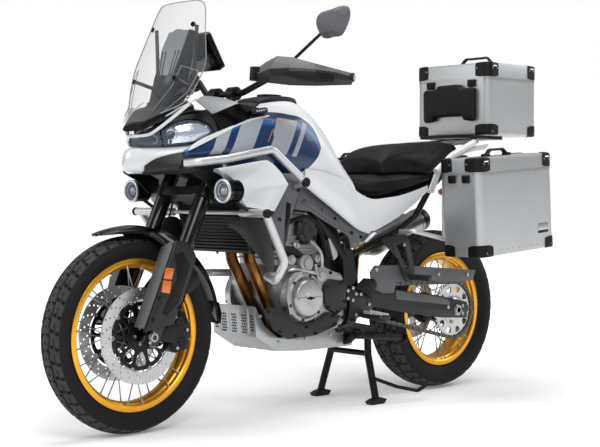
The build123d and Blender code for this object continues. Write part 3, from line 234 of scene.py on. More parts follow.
def between(tree, value, low, high, soft):
    """1 where a value lies between low and high, with soft edges, else 0"""
    rise = add_node(
        tree, "MapRange", {"interpolation_type": "SMOOTHSTEP"}, Value=value,
        From_Min=low - soft, From_Max=low + soft,
    ).outputs["Result"]
    fall = add_node(
        tree, "MapRange", {"interpolation_type": "SMOOTHSTEP"}, Value=value,
        From_Min=high - soft, From_Max=high + soft, To_Min=1.0, To_Max=0.0,
    ).outputs["Result"]
    return add_node(tree, "Math", {"operation": "MULTIPLY"}, i0=rise, i1=fall).outputs[0]


def painted_tank():
    """Gloss paint: white, with a blue field, silver slashes and thin orange lines on each side

    The field's edges are curves of height over distance behind the front axle, in metres.
    """
    material, tree, coordinates = start_material("gloss_body_paint")
    split = add_node(tree, "SeparateXYZ", Vector=coordinates)
    behind = add_node(
        tree, "Math", {"operation": "SUBTRACT"}, i0=split.outputs["Y"], i1=FRONT_AXLE.y
    ).outputs[0]
    height = split.outputs["Z"]

    def curve_height(points):
        """Height of a curve through (behind, height) points, in metres"""
        node = add_node(tree, "FloatCurve", Value=behind)
        curve = node.mapping.curves[0]
        node.mapping.use_clip = False
        curve.points[0].location = points[0]
        curve.points[1].location = points[-1]
        for point in points[1:-1]:
            curve.points.new(*point)
        node.mapping.update()
        return node.outputs["Value"]

    def above(points):
        """How far a point lies above that curve, in metres"""
        return add_node(
            tree, "Math", {"operation": "SUBTRACT"}, i0=height, i1=curve_height(points)
        ).outputs[0]

    def product(first, second):
        """Two factors multiplied"""
        return add_node(tree, "Math", {"operation": "MULTIPLY"}, i0=first, i1=second).outputs[0]

    top = above([(0.10, 0.970), (0.222, 1.030), (0.398, 1.082), (0.47, 1.082), (0.57, 1.077),
                 (0.656, 1.058), (0.70, 1.018), (0.722, 0.960)])
    bottom = above([(0.10, 0.80), (0.45, 0.80), (0.50, 0.862), (0.62, 0.872), (0.69, 0.918),
                    (0.722, 0.960)])
    field = product(
        between(tree, top, -1.0, 0.0, 0.0012), between(tree, bottom, 0.0, 1.0, 0.0012)
    )
    field = product(field, between(tree, behind, 0.05, 0.722, 0.001))
    # painted highlight: a lighter band of blue rides along the top of the field
    glow = between(tree, top, -0.046, -0.026, 0.012)
    flake = add_node(tree, "TexNoise", Vector=coordinates, Scale=900.0, Detail=2.0)
    blue = blend(tree, glow, opaque("#012A54"), opaque("#156FB4"))
    # silver slashes that lean back, cut off a little below the top of the field
    lean = add_node(
        tree, "Math", {"operation": "MULTIPLY_ADD"}, i0=height, i1=-0.62, i2=behind
    ).outputs[0]
    slashes = None
    for start, end, margin in (
        (-0.375, -0.330, 0.040), (-0.300, -0.215, 0.028), (-0.140, -0.040, 0.020),
        (-0.012, 0.012, 0.016),
    ):
        band = product(
            between(tree, lean, start, end, 0.001), between(tree, top, -0.150, -margin, 0.001)
        )
        slashes = band if slashes is None else add_node(
            tree, "Math", {"operation": "MAXIMUM"}, i0=slashes, i1=band
        ).outputs[0]
    silver = blend(tree, flake.outputs["Fac"], opaque("#8E949D"), opaque("#A3A8B0"))
    colour = blend(tree, slashes, blue, silver)
    # thin orange lines: one along the field, one beside the widest slash
    lines = add_node(
        tree, "Math", {"operation": "MAXIMUM"},
        i0=product(between(tree, top, -0.0305, -0.0275, 0.0006),
                   between(tree, behind, 0.30, 0.62, 0.002)),
        i1=product(between(tree, lean, -0.160, -0.157, 0.0006),
                   between(tree, top, -0.110, -0.0290, 0.001)),
    ).outputs[0]
    colour = blend(tree, lines, colour, opaque("#C9782A"))
    # the wings are blue to their edges; elsewhere the field ends and the panel is white
    peel = add_node(tree, "TexNoise", Vector=coordinates, Scale=260.0, Detail=2.0)
    white = blend(tree, peel.outputs["Fac"], opaque("#DCDEE2"), opaque("#E6E8EB"))
    colour = blend(tree, field, white, colour)
    relief = add_node(tree, "Bump", Height=peel.outputs["Fac"], Strength=0.03, Distance=0.0002)
    shader = add_node(
        tree, "BsdfPrincipled", Base_Color=colour, Roughness=0.28, Coat_Weight=0.3,
        Coat_Roughness=0.03, Specular_IOR_Level=0.35, Normal=relief.outputs["Normal"],
    )
    add_node(tree, "OutputMaterial", Surface=shader.outputs["BSDF"])
    return material


def vinyl():
    """Seat cover: coated cloth with a pebbled grain about 1.5 mm across"""
    material, tree, coordinates = start_material("black_seat_vinyl")
    pebbles = add_node(
        tree, "TexVoronoi", {"feature": "SMOOTH_F1"}, Vector=coordinates, Scale=1000 / 2.2,
        Smoothness=0.6,
    )
    tone_mask = add_node(tree, "TexNoise", Vector=coordinates, Scale=14.0, Detail=5.0)
    colour = blend(tree, tone_mask.outputs["Fac"], opaque("#090909"), opaque("#101011"))
    gloss = add_node(
        tree, "MapRange", Value=tone_mask.outputs["Fac"], To_Min=0.48, To_Max=0.66
    ).outputs["Result"]
    relief = add_node(
        tree, "Bump", Height=pebbles.outputs["Distance"], Strength=0.35, Distance=0.0006
    )
    shader = add_node(
        tree, "BsdfPrincipled", Base_Color=colour, Roughness=gloss, Specular_IOR_Level=0.2,
        Normal=relief.outputs["Normal"],
    )
    add_node(tree, "OutputMaterial", Surface=shader.outputs["BSDF"])
    return material


def radiator_core():
    """Black radiator: fine cooling fins in level rows, painted lighter on the fins as painted light
    and darker between them as painted shade
    """
    material, tree, coordinates = start_material("black_radiator_core")
    split = add_node(tree, "SeparateXYZ", Vector=coordinates)
    rows = add_node(
        tree, "Math", {"operation": "SINE"},
        i0=add_node(
            tree, "Math", {"operation": "MULTIPLY"}, i0=split.outputs["Z"], i1=2 * pi / 0.011
        ).outputs[0],
    ).outputs[0]
    # lighter stripes as painted light on the fins, darker ones as painted shade between them
    colour = blend(
        tree, add_node(tree, "MapRange", Value=rows, From_Min=-1.0).outputs["Result"],
        opaque("#060607"), opaque("#2C2D2F"),
    )
    relief = add_node(tree, "Bump", Height=rows, Strength=0.8, Distance=0.002)
    shader = add_node(
        tree, "BsdfPrincipled", Base_Color=colour, Roughness=0.45, Metallic=0.3,
        Normal=relief.outputs["Normal"],
    )
    add_node(tree, "OutputMaterial", Surface=shader.outputs["BSDF"])
    return material


def make_finishes():
    """All materials, with the record's slot that each belongs to"""
    return {
        # vulcanised rubber of grips and seams: dull black, dusty grain
        "rubber": (surface("vulcanised_rubber", "#080809", "#101011", roughness=0.7, grain=1.2,
                           bump=0.25, specular=0.2), "tyre"),
        # tyre rubber: grey dust on the blocks, black walls, and grooves painted black as shade
        "tyre": (tyre_rubber(), "tyre"),
        # anodised aluminium: dyed oxide over spun metal, a satin gold glow
        "gold": (surface("gold_anodised_aluminium", "#DE9A22", "#F4B440", metallic=0.85,
                         roughness=0.3, grain=2.0, bump=0.05), "anodised_gold"),
        # stainless steel, ground and turned: bright, with a fine broken shine
        "steel": (surface("ground_stainless_steel", "#AAABAC", "#CECFD0", metallic=0.9,
                          roughness=0.34, grain=1.5, bump=0.08), "steel"),
        # drawn stainless wire: darker and smoother than ground steel
        "spoke": (surface("stainless_spoke_wire", "#77787A", "#A0A1A3", metallic=0.9,
                          roughness=0.3, grain=2.0), "steel"),
        # black paint baked on steel and aluminium: even, half gloss
        "black": (surface("black_stove_enamel", "#060607", "#0C0C0D", roughness=0.36,
                          grain=2.5, bump=0.08, specular=0.24), "black_metal"),
        # black anodised tube: sharp long highlights
        "fork": (surface("black_anodised_tube", "#050506", "#0A0A0B", roughness=0.16,
                         spread=0.05, bump=0.02, specular=0.4), "black_metal"),
        # moulded polypropylene with a spark-eroded grain: dull black, soft highlights
        "black_plastic": (surface("black_moulded_polypropylene", "#070708", "#0E0E0F",
                                  roughness=0.5, grain=1.0, bump=0.35, specular=0.2),
                          "black_plastic"),
        # polished black polycarbonate: mirrors the lamps in clear patches
        "gloss_black": (surface("gloss_black_polycarbonate", "#040405", "#070708",
                                roughness=0.14, spread=0.04, bump=0.01, specular=0.34),
                        "black_plastic"),
        # moulded nylon, dark: fine grain, satin
        "grey_plastic": (surface("dark_grey_moulded_nylon", "#1A1B1C", "#232425",
                                 roughness=0.42, grain=1.0, bump=0.3, specular=0.3),
                         "grey_plastic"),
        # the same nylon in a lighter grey; on the fork guards' edges, the hand guards' tops and the
        # swingarm's side panels it is painted light
        "mid_grey": (surface("mid_grey_moulded_nylon", "#505154", "#5C5D60", roughness=0.46,
                             grain=1.0, bump=0.25, specular=0.4), "grey_plastic"),
        # nylon with metal flake: pale, slightly metallic
        "silver_plastic": (surface("silver_grey_moulded_nylon", "#85878A", "#989A9D",
                                   roughness=0.4, metallic=0.3, grain=1.2, bump=0.1),
                           "grey_plastic"),
        # cast aluminium: pale, with a grainy skin that scatters the light
        "cast": (surface("cast_aluminium", "#8B8C8D", "#B0B1B2", metallic=0.85, roughness=0.42,
                         grain=1.6, bump=0.4), "silver_cast"),
        # machined aluminium: smoother and brighter, with fine tool marks
        "machined": (surface("machined_aluminium", "#9FA0A1", "#B4B5B6", metallic=0.85,
                             roughness=0.34, grain=0.8, bump=0.05), "silver_cast"),
        # casting under dark grey paint: its grain shows through
        "grey_cast": (surface("grey_painted_casting", "#1B1C1E", "#28292B",
                              roughness=0.4, grain=1.4, bump=0.25, specular=0.3), "grey_cast"),
        # oiled chain steel: dark, worn bright in patches
        "chain": (surface("oiled_chain_steel", "#2C2C2D", "#6C6C6D", metallic=0.9,
                          roughness=0.36, grain=3.0, patch=8.0, bump=0.1), "steel"),
        # rolled aluminium sheet: broad satin sheen, hardly any grain
        "sheet": (surface("satin_aluminium_sheet", "#A6A8AA", "#B4B6B8", metallic=0.7,
                          roughness=0.4, grain=1.0, patch=200.0, bump=0.05), "aluminium"),
        # powder coat on steel tube: silver with a light orange-peel
        "silver_paint": (surface("silver_powder_coat", "#BBBDBF", "#CCCED0", metallic=0.6,
                                 roughness=0.36, grain=1.2, bump=0.15, coat=0.1), "silver_bar"),
        # gloss white paint under clear coat: soft reflections on a clean white
        "white": (surface("gloss_white_paint", "#D6D8DB", "#E0E2E4", roughness=0.26, coat=0.7,
                          spread=0.05, patch=250.0, bump=0.02), "white_paint"),
        # pearl paint: a satin white with a little metal in it
        "pearl": (surface("satin_pearl_paint", "#CFD2D5", "#DCDEE1", metallic=0.15,
                          roughness=0.36, coat=0.3, spread=0.05, patch=250.0, bump=0.02),
                  "white_paint"),
        # painted tank: white, blue and silver under clear coat
        "tank": (painted_tank(), "blue_paint"),
        # exhaust steel tinted by heat: straw to brown
        "hot_steel": (heat_tinted_steel(), "exhaust_steel"),
        # radiator core: black fins in level rows, with painted light on the fins and painted shade
        # between them
        "core": (radiator_core(), "black_metal"),
        # seat vinyl: pebbled, dull, worn smoother in places
        "vinyl": (vinyl(), "seat_cover"),
        # polycarbonate sheet: clear, greyer where it is seen edge on
        "screen": (glazing("clear_polycarbonate_sheet", "#8E9296", 0.06, edge=0.2), "screen"),
        # lamp lens: clear with a cold tint
        "lens": (glazing("clear_lamp_lens", "#B9CCE6", 0.06, edge=0.14), "clear_lens"),
        # metallised reflector: bright, broken into facets
        "reflector": (surface("bright_lamp_reflector", "#C9D3E0", "#F2F6FA", metallic=0.8,
                              roughness=0.12, grain=6.0, bump=0.3), "clear_lens"),
        # orange reflector and lamp plastic: ribbed under a gloss skin
        "orange": (surface("orange_reflector_lens", "#C4560A", "#E07A1E", roughness=0.18,
                           coat=0.5, grain=2.0, bump=0.4), "red_lens"),
        # red lamp plastic, the same way
        "red": (surface("red_lamp_lens", "#5E0A0A", "#8A1212", roughness=0.15, coat=0.5,
                        grain=2.0, bump=0.3), "red_lens"),
        # silvered glass: a clean mirror
        "mirror": (surface("silvered_mirror_glass", "#C8CCD0", "#D4D8DC", metallic=1.0,
                           roughness=0.04, spread=0.01, bump=0.0), "steel"),
        # display glass: black with one clear reflection
        "display": (surface("dark_display_glass", "#05070A", "#0A0D12", roughness=0.08,
                            spread=0.02, coat=0.6, bump=0.0), "black_plastic"),
    }


FINISHES = make_finishes()

# ------------------------------------------------------------------ making meshes


def piece_of(name, mesh):
    """Object at the origin with this mesh"""
    mesh.name = name
    piece = bpy.data.objects.new(name, mesh)
    bpy.context.scene.collection.objects.link(piece)
    return piece


def new_piece(name, vertices, faces):
    """Object at the origin with these vertices, in metres, and faces"""
    mesh = bpy.data.meshes.new(name)
    mesh.from_pydata([tuple(vertex) for vertex in vertices], [], faces)
    mesh.validate()
    return piece_of(name, mesh)


def mesh_of_curve(name, curve):
    """The mesh that a curve makes; the curve is gone afterwards"""
    holder = bpy.data.objects.new(name, curve)
    bpy.context.scene.collection.objects.link(holder)
    mesh = bpy.data.meshes.new_from_object(
        holder.evaluated_get(bpy.context.evaluated_depsgraph_get())
    )
    bpy.data.objects.remove(holder)
    bpy.data.curves.remove(curve)
    return mesh


def select_nothing():
    """Clears the selection"""
    for other in list(bpy.context.view_layer.objects.selected):
        other.select_set(False)


def select_only(piece):
    """Makes this the one selected and active object"""
    select_nothing()
    piece.select_set(True)
    bpy.context.view_layer.objects.active = piece


def shape_with(piece, kind, **settings):
    """Adds a modifier with its settings and applies it"""
    modifier = piece.modifiers.new(kind, kind)
    for name, value in settings.items():
        setattr(modifier, name, value)
    select_only(piece)
    bpy.ops.object.modifier_apply(modifier=modifier.name)
    return piece


def subdivide(piece, levels=2):
    """Rounds a cage into a smooth surface"""
    return shape_with(piece, "SUBSURF", levels=levels, render_levels=levels)


def bevel(piece, width, segments=2, angle=35):
    """Rounds the sharp edges of a piece, width in millimetres"""
    return shape_with(
        piece, "BEVEL", width=width * MM, segments=segments, limit_method="ANGLE",
        angle_limit=radians(angle), use_clamp_overlap=True,
    )


def outward(piece):
    """Merges doubles and turns the faces outwards"""
    select_only(piece)
    bpy.ops.object.mode_set(mode="EDIT")
    bpy.ops.mesh.select_all(action="SELECT")
    bpy.ops.mesh.remove_doubles(threshold=0.00001)
    bpy.ops.mesh.normals_make_consistent(inside=False)
    bpy.ops.object.mode_set(mode="OBJECT")
    return piece


def walled(piece, wall, offset=0.0):
    """Gives a surface its wall, in millimetres; an offset of -1 puts it all behind the surface"""
    outward(piece)
    return shape_with(piece, "SOLIDIFY", thickness=wall * MM, offset=offset)


def finish(piece, body, look, nodes=(), smooth=35):
    """Gives a piece its material, smoothing, body and the CAD nodes that it stands for"""
    outward(piece)
    mesh = piece.data
    mesh.shade_smooth()
    mesh.set_sharp_from_angle(angle=radians(smooth))
    mesh.materials.clear()
    material, slot = FINISHES[look]
    mesh.materials.append(material)
    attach(piece, body)
    if nodes:
        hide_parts(*nodes)
    piece.select_set(False)
    return piece


def joined(name, parts):
    """One object from several"""
    select_only(parts[0])
    for part in parts[1:]:
        part.select_set(True)
    if len(parts) > 1:
        bpy.ops.object.join()
    parts[0].name = name
    parts[0].data.name = name
    return parts[0]


def skin(name, rows, ring=True, caps=True):
    """Surface through rows of points; each row is a closed ring, or an open line"""
    count = len(rows[0])
    span = count if ring else count - 1
    faces = []
    for row in range(len(rows) - 1):
        for column in range(span):
            after = (column + 1) % count
            faces.append((
                row * count + column, row * count + after,
                (row + 1) * count + after, (row + 1) * count + column,
            ))
    if ring and caps:
        faces.append(tuple(reversed(range(count))))
        faces.append(tuple(range((len(rows) - 1) * count, len(rows) * count)))
    return new_piece(name, [point for row in rows for point in row], faces)


def turned(name, centre, axis, profile, segments=64):
    """Lathe shape: profile of (along the axis, radius) in millimetres, turned round the axis

    A profile that comes back to its first point makes a ring, which stays open in the middle.
    """
    axis = Vector(axis).normalized()
    side = axis.orthogonal().normalized()
    other = axis.cross(side)
    rows = []
    step = 2 * pi / segments
    for along, radius in profile:
        rows.append([
            Vector(centre) + axis * along * MM
            + (side * cos(step * k) + other * sin(step * k)) * radius * MM
            for k in range(segments)
        ])
    return skin(name, rows, caps=profile[0] != profile[-1])


def plate(name, outline, left_from, left_to, round_edge=1.5, segments=2):
    """Flat piece with a side-view outline of (behind, height), between two places left of centre"""
    count = len(outline)
    vertices = [at(left, *point) for left in (left_from, left_to) for point in outline]
    faces = [tuple(range(count)), tuple(reversed(range(count, 2 * count)))]
    for k in range(count):
        after = (k + 1) % count
        faces.append((k, k + count, after + count, after))
    piece = new_piece(name, vertices, faces)
    if round_edge:
        outward(piece)
        bevel(piece, round_edge, segments=segments)
    return piece


ARC_STEPS = 6


def rounded_route(points, bend):
    """Straight runs joined by tangent arcs of one radius, in millimetres"""
    route = [Vector(points[0])]
    for before, corner, after in zip(points, points[1:], points[2:]):
        inward = (Vector(before) - Vector(corner)).normalized()
        onward = (Vector(after) - Vector(corner)).normalized()
        turn = inward.angle(onward)
        reach = min(
            bend * MM / max(sin(turn / 2), 0.05) * cos(turn / 2),
            0.48 * (Vector(before) - Vector(corner)).length,
            0.48 * (Vector(after) - Vector(corner)).length,
        )
        start = Vector(corner) + inward * reach
        end = Vector(corner) + onward * reach
        for k in range(ARC_STEPS + 1):
            share = k / ARC_STEPS
            route.append(
                start * (1 - share) ** 2 + Vector(corner) * 2 * share * (1 - share)
                + end * share ** 2
            )
    route.append(Vector(points[-1]))
    return route


def tube(name, points, diameter, bend=30, sides=14, flowing=False):
    """Round tube along a route: straight runs and arcs, or one flowing line for a hose"""
    curve = bpy.data.curves.new(name, "CURVE")
    curve.dimensions = "3D"
    curve.bevel_depth = diameter / 2 * MM
    curve.bevel_resolution = max(sides // 4 - 1, 1)
    curve.use_fill_caps = True
    route = points if flowing else rounded_route(points, bend)
    spline = curve.splines.new("NURBS" if flowing else "POLY")
    spline.points.add(len(route) - 1)
    for spot, point in zip(spline.points, route):
        spot.co = (*point, 1)
    if flowing:
        spline.use_endpoint_u = True
        spline.order_u = 3
        spline.resolution_u = 8
    return piece_of(name, mesh_of_curve(name, curve))


def stamped(name, centre, left, loops, thickness):
    """Flat disc across the machine: loops of (back, up) round a centre, outer first, then holes"""
    curve = bpy.data.curves.new(name, "CURVE")
    curve.dimensions = "2D"
    curve.fill_mode = "BOTH"
    curve.extrude = thickness / 2 * MM
    for loop in loops:
        spline = curve.splines.new("POLY")
        spline.points.add(len(loop) - 1)
        spline.use_cyclic_u = True
        for spot, point in zip(spline.points, loop):
            spot.co = (point[0] * MM, point[1] * MM, 0, 1)
    mesh = mesh_of_curve(name, curve)
    across = Matrix(((0, 0, 1, left * MM), (1, 0, 0, centre.y), (0, 1, 0, centre.z), (0, 0, 0, 1)))
    mesh.transform(across)
    return piece_of(name, mesh)


def circle(radius, count, centre=(0, 0), turn=0.0):
    """Loop of points round a circle, turned by a share of the step between two of them"""
    angles = [2 * pi * (k + turn) / count for k in range(count)]
    return [(centre[0] + radius * cos(a), centre[1] + radius * sin(a)) for a in angles]


def places_round(centre, left, radius, count, turn=0.0):
    """Places evenly round a circle that lies across the machine, left of a centre"""
    return [centre + Vector((left, *spot)) * MM for spot in circle(radius, count, turn=turn)]


def rounded_windows(count, turn, corners):
    """Loops of rounded windows in a ring; their corners are (radius, angle from the middle)"""
    loops = []
    for k in range(count):
        middle = 2 * pi * (k + turn) / count
        window = [
            Vector((radius * cos(middle + spread), radius * sin(middle + spread), 0))
            for radius, spread in corners
        ]
        loops.append([(point.x, point.y) for point in flowing_line(window, 4, corners=(),
            closed=True)])
    return loops


def bolts(name, places, radius, height, sides=12):
    """Socket-head bolts: each place is (point, direction), joined in one piece"""
    heads = []
    profile = [
        (-1, radius * 0.9), (0, radius), (height * 0.85, radius), (height, radius * 0.86),
        (height, radius * 0.5), (height * 0.4, radius * 0.46),
    ]
    for point, direction in places:
        heads.append(turned(name, point, direction, profile, segments=sides))
    return joined(name, heads)


def mirrored(point):
    """The same place on the right"""
    return Vector((-point.x, point.y, point.z))


# ------------------------------------------------------------------ flowing surfaces


def flowing_line(points, steps, corners=(), closed=False):
    """Smooth line through points; it keeps a corner at each place whose number is in corners"""
    count = len(points)
    spans = count if closed else count - 1
    line = []
    for k in range(spans):
        first = points[k]
        second = points[(k + 1) % count]
        if closed:
            before, after = points[k - 1], points[(k + 2) % count]
        else:
            before = points[max(k - 1, 0)]
            after = points[min(k + 2, count - 1)]
        leave = (second - before) / 2 if k not in corners else second - first
        arrive = (after - first) / 2 if (k + 1) % count not in corners else second - first
        for step in range(steps):
            t = step / steps
            line.append(
                first * (2 * t ** 3 - 3 * t ** 2 + 1) + leave * (t ** 3 - 2 * t ** 2 + t)
                + second * (3 * t ** 2 - 2 * t ** 3) + arrive * (t ** 3 - t ** 2)
            )
    if not closed:
        line.append(points[-1].copy())
    return line


def flowing_skin(name, rows, along=4, across=4, corners=(), row_corners=(), ring=False):
    """Smooth surface through rows of points"""
    lines = [flowing_line(row, across, corners=corners, closed=ring) for row in rows]
    columns = [
        flowing_line([line[k] for line in lines], along, corners=row_corners)
        for k in range(len(lines[0]))
    ]
    dense = [[column[k] for column in columns] for k in range(len(columns[0]))]
    return skin(name, dense, ring=ring)


def side_panels(name, stations, wall, along=6, across=5):
    """Moulded panel and its mirror image, with a wall in millimetres

    It runs through upright sections: (behind, [(left, height), ...]).
    """
    rows = [[at(left, behind, height) for left, height in line] for behind, line in stations]
    piece = flowing_skin(name, rows, along=along, across=across)
    outward(piece)
    shape_with(piece, "SOLIDIFY", thickness=wall * MM, offset=0.0, use_even_offset=True)
    return shape_with(piece, "MIRROR", use_axis=(True, False, False), use_mirror_merge=False)


def closed_body(name, stations, along=6, across=5, corners=()):
    """Closed symmetric body: (behind, half section from bottom to top as (left, height))"""
    rows = []
    for behind, half in stations:
        whole = [at(left, behind, height) for left, height in half]
        whole += [mirrored(point) for point in reversed(whole) if abs(point.x) > 1e-6]
        rows.append(whole)
    # the flat bottom keeps its two edges, and each kept corner its mirror image
    last = len(rows[0]) - 1
    kept = {place for corner in (0, *corners) for place in (corner, last - corner)}
    return flowing_skin(name, rows, along=along, across=across, corners=kept, ring=True)


def rounded_copy(name, node, width, segments=2):
    """The model's own shape with its sharp edges rounded, width in millimetres"""
    piece = piece_of(name, NODES[node].data.copy())
    select_only(piece)
    bpy.ops.object.mode_set(mode="EDIT")
    bpy.ops.mesh.select_all(action="SELECT")
    bpy.ops.mesh.customdata_custom_splitnormals_clear()
    bpy.ops.mesh.remove_doubles(threshold=0.00002)
    bpy.ops.mesh.dissolve_limited(angle_limit=radians(3))
    bpy.ops.object.mode_set(mode="OBJECT")
    return bevel(piece, width, segments=segments, angle=30)


def steering_at(left, back, up):
    """Point in the steering's frame: along the steering axis and square to it, millimetres"""
    forward = Vector((0, -cos(RAKE), sin(RAKE)))
    return STEERING_ORIGIN + (LEFT * left - forward * back + STEERING_AXIS * up) * MM


RAKE = atan2(STEERING_AXIS.y, STEERING_AXIS.z)
STEERING_ORIGIN = FRONT_AXLE + Vector((0, cos(RAKE), -sin(RAKE))) * FORK_OFFSET * MM
LEFT = Vector((1, 0, 0))
UP = Vector((0, 0, 1))
BACK = Vector((0, 1, 0))


# ------------------------------------------------------------------ wheels


STEPS_A_PITCH = 14


def tread_tyre(name, axle, outer, width, lip, rim_half, pitch_count, body, node):
    """Tyre with blocks of tread; the rows of the mesh slant with the grooves"""
    shoulder = width / 2 - 6
    shoulder_radius = outer - 17
    belly_radius = (outer + lip) / 2
    columns = []
    half_columns = 17
    for k in range(-half_columns, half_columns + 1):
        across = shoulder * k / half_columns
        share = abs(across) / shoulder
        # crown: an arc from the middle to the shoulders
        radius = outer - (outer - shoulder_radius) * share ** 2
        columns.append((across, radius, k))
    wall = []
    neck = (rim_half - 4.3, lip + 5)
    for k in range(1, 11):
        t = k / 10
        across = (1 - t) ** 2 * shoulder + 2 * t * (1 - t) * (width / 2 + 7) + t ** 2 * neck[0]
        radius = (1 - t) ** 2 * shoulder_radius + 2 * t * (1 - t) * belly_radius + t ** 2 * neck[1]
        # a fine raised line round the wall
        rise = 0.9 if k == 6 else 0.0
        wall.append((across + rise, radius))
    wall.append((rim_half - 5.3, lip - 10))
    profile = [(-across, radius, None) for across, radius in reversed(wall)]
    profile += columns + [(across, radius, None) for across, radius in wall]
    around = pitch_count * STEPS_A_PITCH
    depth = 6.5
    rows = []
    tone_mask = []
    for step in range(around):
        row = []
        for across, radius, column in profile:
            slant = 0.0
            cut = 0.0
            if column is not None:
                size = abs(column)
                side = 1 if column > 0 else -1
                slant = min(size, half_columns) * 0.34 + (7 if side < 0 else 0) * (size > 6)
                pitch, phase = divmod(step, STEPS_A_PITCH)
                middle_gap = 6 if pitch % 2 else 5
                if size <= 1:
                    cut = 0.55 * depth if phase in (0, 1) else 0
                elif size in (middle_gap, middle_gap + 1):
                    cut = depth
                elif size == 12:
                    cut = 0.7 * depth if phase > 6 else 0
                elif size > 7:
                    cut = depth if phase < 3 else 0
                else:
                    cut = depth if phase in (6, 7) else 0
                if size == half_columns:
                    cut = 0.8 * cut
            # 1 on the tops of the blocks; the grooves and walls get 0 and the rubber's black, in
            # the grooves as painted shade
            tone_mask.append(1.0 if column is not None and cut < 0.5 else 0.0)
            angle = 2 * pi * (step + slant) / around
            reach = (radius - cut) * MM
            row.append(axle + Vector((across * MM, reach * cos(angle), reach * sin(angle))))
        rows.append(row)
    rows.append(rows[0])
    tyre = skin(name, rows, ring=False)
    tread = tyre.data.attributes.new("tread", "FLOAT", "POINT")
    tread.data.foreach_set("value", tone_mask + tone_mask[:len(profile)])
    return finish(tyre, body, "tyre", [node], smooth=32)


def mirror_image(profile):
    """A profile's other half: (along, radius) points the other way along, in reverse order"""
    return [(-along, radius) for along, radius in reversed(profile)]


def ridged_rim(name, axle, lip, half):
    """Rim with a raised band and ribs outside, a well between, and a rolled lip"""
    outer = [
        (-half, lip - 17), (-half, lip - 2), (1.2 - half, lip), (3.4 - half, lip),
        (4.4 - half, lip - 2), (5 - half, lip - 12), (18 - half, lip - 13), (24 - half, lip - 26),
    ]
    inner = [
        (half - 3, lip - 21), (half - 14, lip - 22), (half - 16, lip - 27), (half - 22, lip - 31),
    ]
    profile = [
        *outer, (0, lip - 27), *mirror_image(outer), *inner, (0, lip - 33), *mirror_image(inner)]
    rows = []
    segments = 128
    for along, radius in profile:
        rows.append([
            axle + Vector((along, radius * cos(2 * pi * k / segments),
                           radius * sin(2 * pi * k / segments))) * MM
            for k in range(segments)
        ])
    rows.append(rows[0])
    return skin(name, rows, caps=False)


def laced_spokes(name, axle, lip, half, hub_radius, flange, a_side):
    """Crossed spokes with their nipples, from the hub's flanges to the rim's edges"""
    spokes = []
    nipples = []
    for side in (-1, 1):
        for index in range(a_side):
            hub_angle = 2 * pi / a_side * (index + (0.5 if side > 0 else 0))
            lean = radians(38) * (1 if index % 2 else -1)
            rim_angle = hub_angle + lean * 0.5
            start = axle + Vector((
                side * (flange + (2.5 if index % 2 else -2.5)),
                (hub_radius - 5) * cos(hub_angle - lean), (hub_radius - 5) * sin(hub_angle - lean),
            )) * MM
            end = axle + Vector((
                side * (half - 9), (lip - 20) * cos(rim_angle), (lip - 20) * sin(rim_angle),
            )) * MM
            direction = end - start
            length = direction.length / MM
            spokes.append(turned(name, start, direction, [(0, 2.1), (length, 2.1)], segments=8))
            nipples.append(turned(
                name + "_nipple", end, -direction,
                [(-1, 4.2), (0, 4.2), (2, 4.2), (3, 3.2), (16, 3.0), (18, 2.3)], segments=8,
            ))
    return joined(name, spokes), joined(name + "_nipples", nipples)


def wheel_hub(name, axle, radius, flange, bore):
    """Turned hub: flanges with their spoke seats, and a waisted barrel"""
    barrel = radius * 0.6
    return turned(name, axle, LEFT, [
        (-flange - 12, bore), (-flange - 12, barrel), (-flange - 5, barrel + 3),
        (-flange - 4, radius - 1), (-flange - 2, radius + 1), (4 - flange, radius + 1),
        (6 - flange, radius - 2), (16 - flange, barrel), (0, barrel - 4),
        (flange - 16, barrel), (flange - 6, radius - 2), (flange - 4, radius + 1),
        (flange + 2, radius + 1), (flange + 4, radius - 1), (flange + 5, barrel + 3),
        (flange + 12, barrel), (flange + 12, bore),
    ], segments=64)


def drilled_disc(name, axle, left, outer, inner, thickness, holes_a_row):
    """Brake disc: a scalloped inner edge and rows of small holes"""
    edge = [
        ((inner + 4 * abs(sin(5 * a))) * cos(a), (inner + 4 * abs(sin(5 * a))) * sin(a))
        for a in [2 * pi * k / 160 for k in range(160)]
    ]
    loops = [circle(outer, 160), edge]
    rows = 3
    for row in range(rows):
        radius = inner + 10 + (outer - inner - 16) * row / (rows - 1)
        loops += [circle(3.8, 8, centre=spot) for spot in circle(radius, holes_a_row,
            turn=0.27 * row)]
    return stamped(name, axle, left, loops, thickness)


class MOTORCYCLE_OT_tyres(Operator):
    """Both tyres, with blocks of tread and a fine line round each wall"""
    bl_idname = "motorcycle.tyres"
    bl_label = "Tyres"

    def execute(self, context):
        for end, axle, sizes in (
            ("front", FRONT_AXLE, (329, 112, FRONT_LIP_RADIUS, FRONT_RIM_HALF, 40)),
            ("rear", REAR_AXLE, (321, 150, REAR_LIP_RADIUS, REAR_RIM_HALF, 38)),
        ):
            tread_tyre(end + "_tyre_tread", axle, *sizes, end + "_wheel", end + "_tyre")
        return {"FINISHED"}


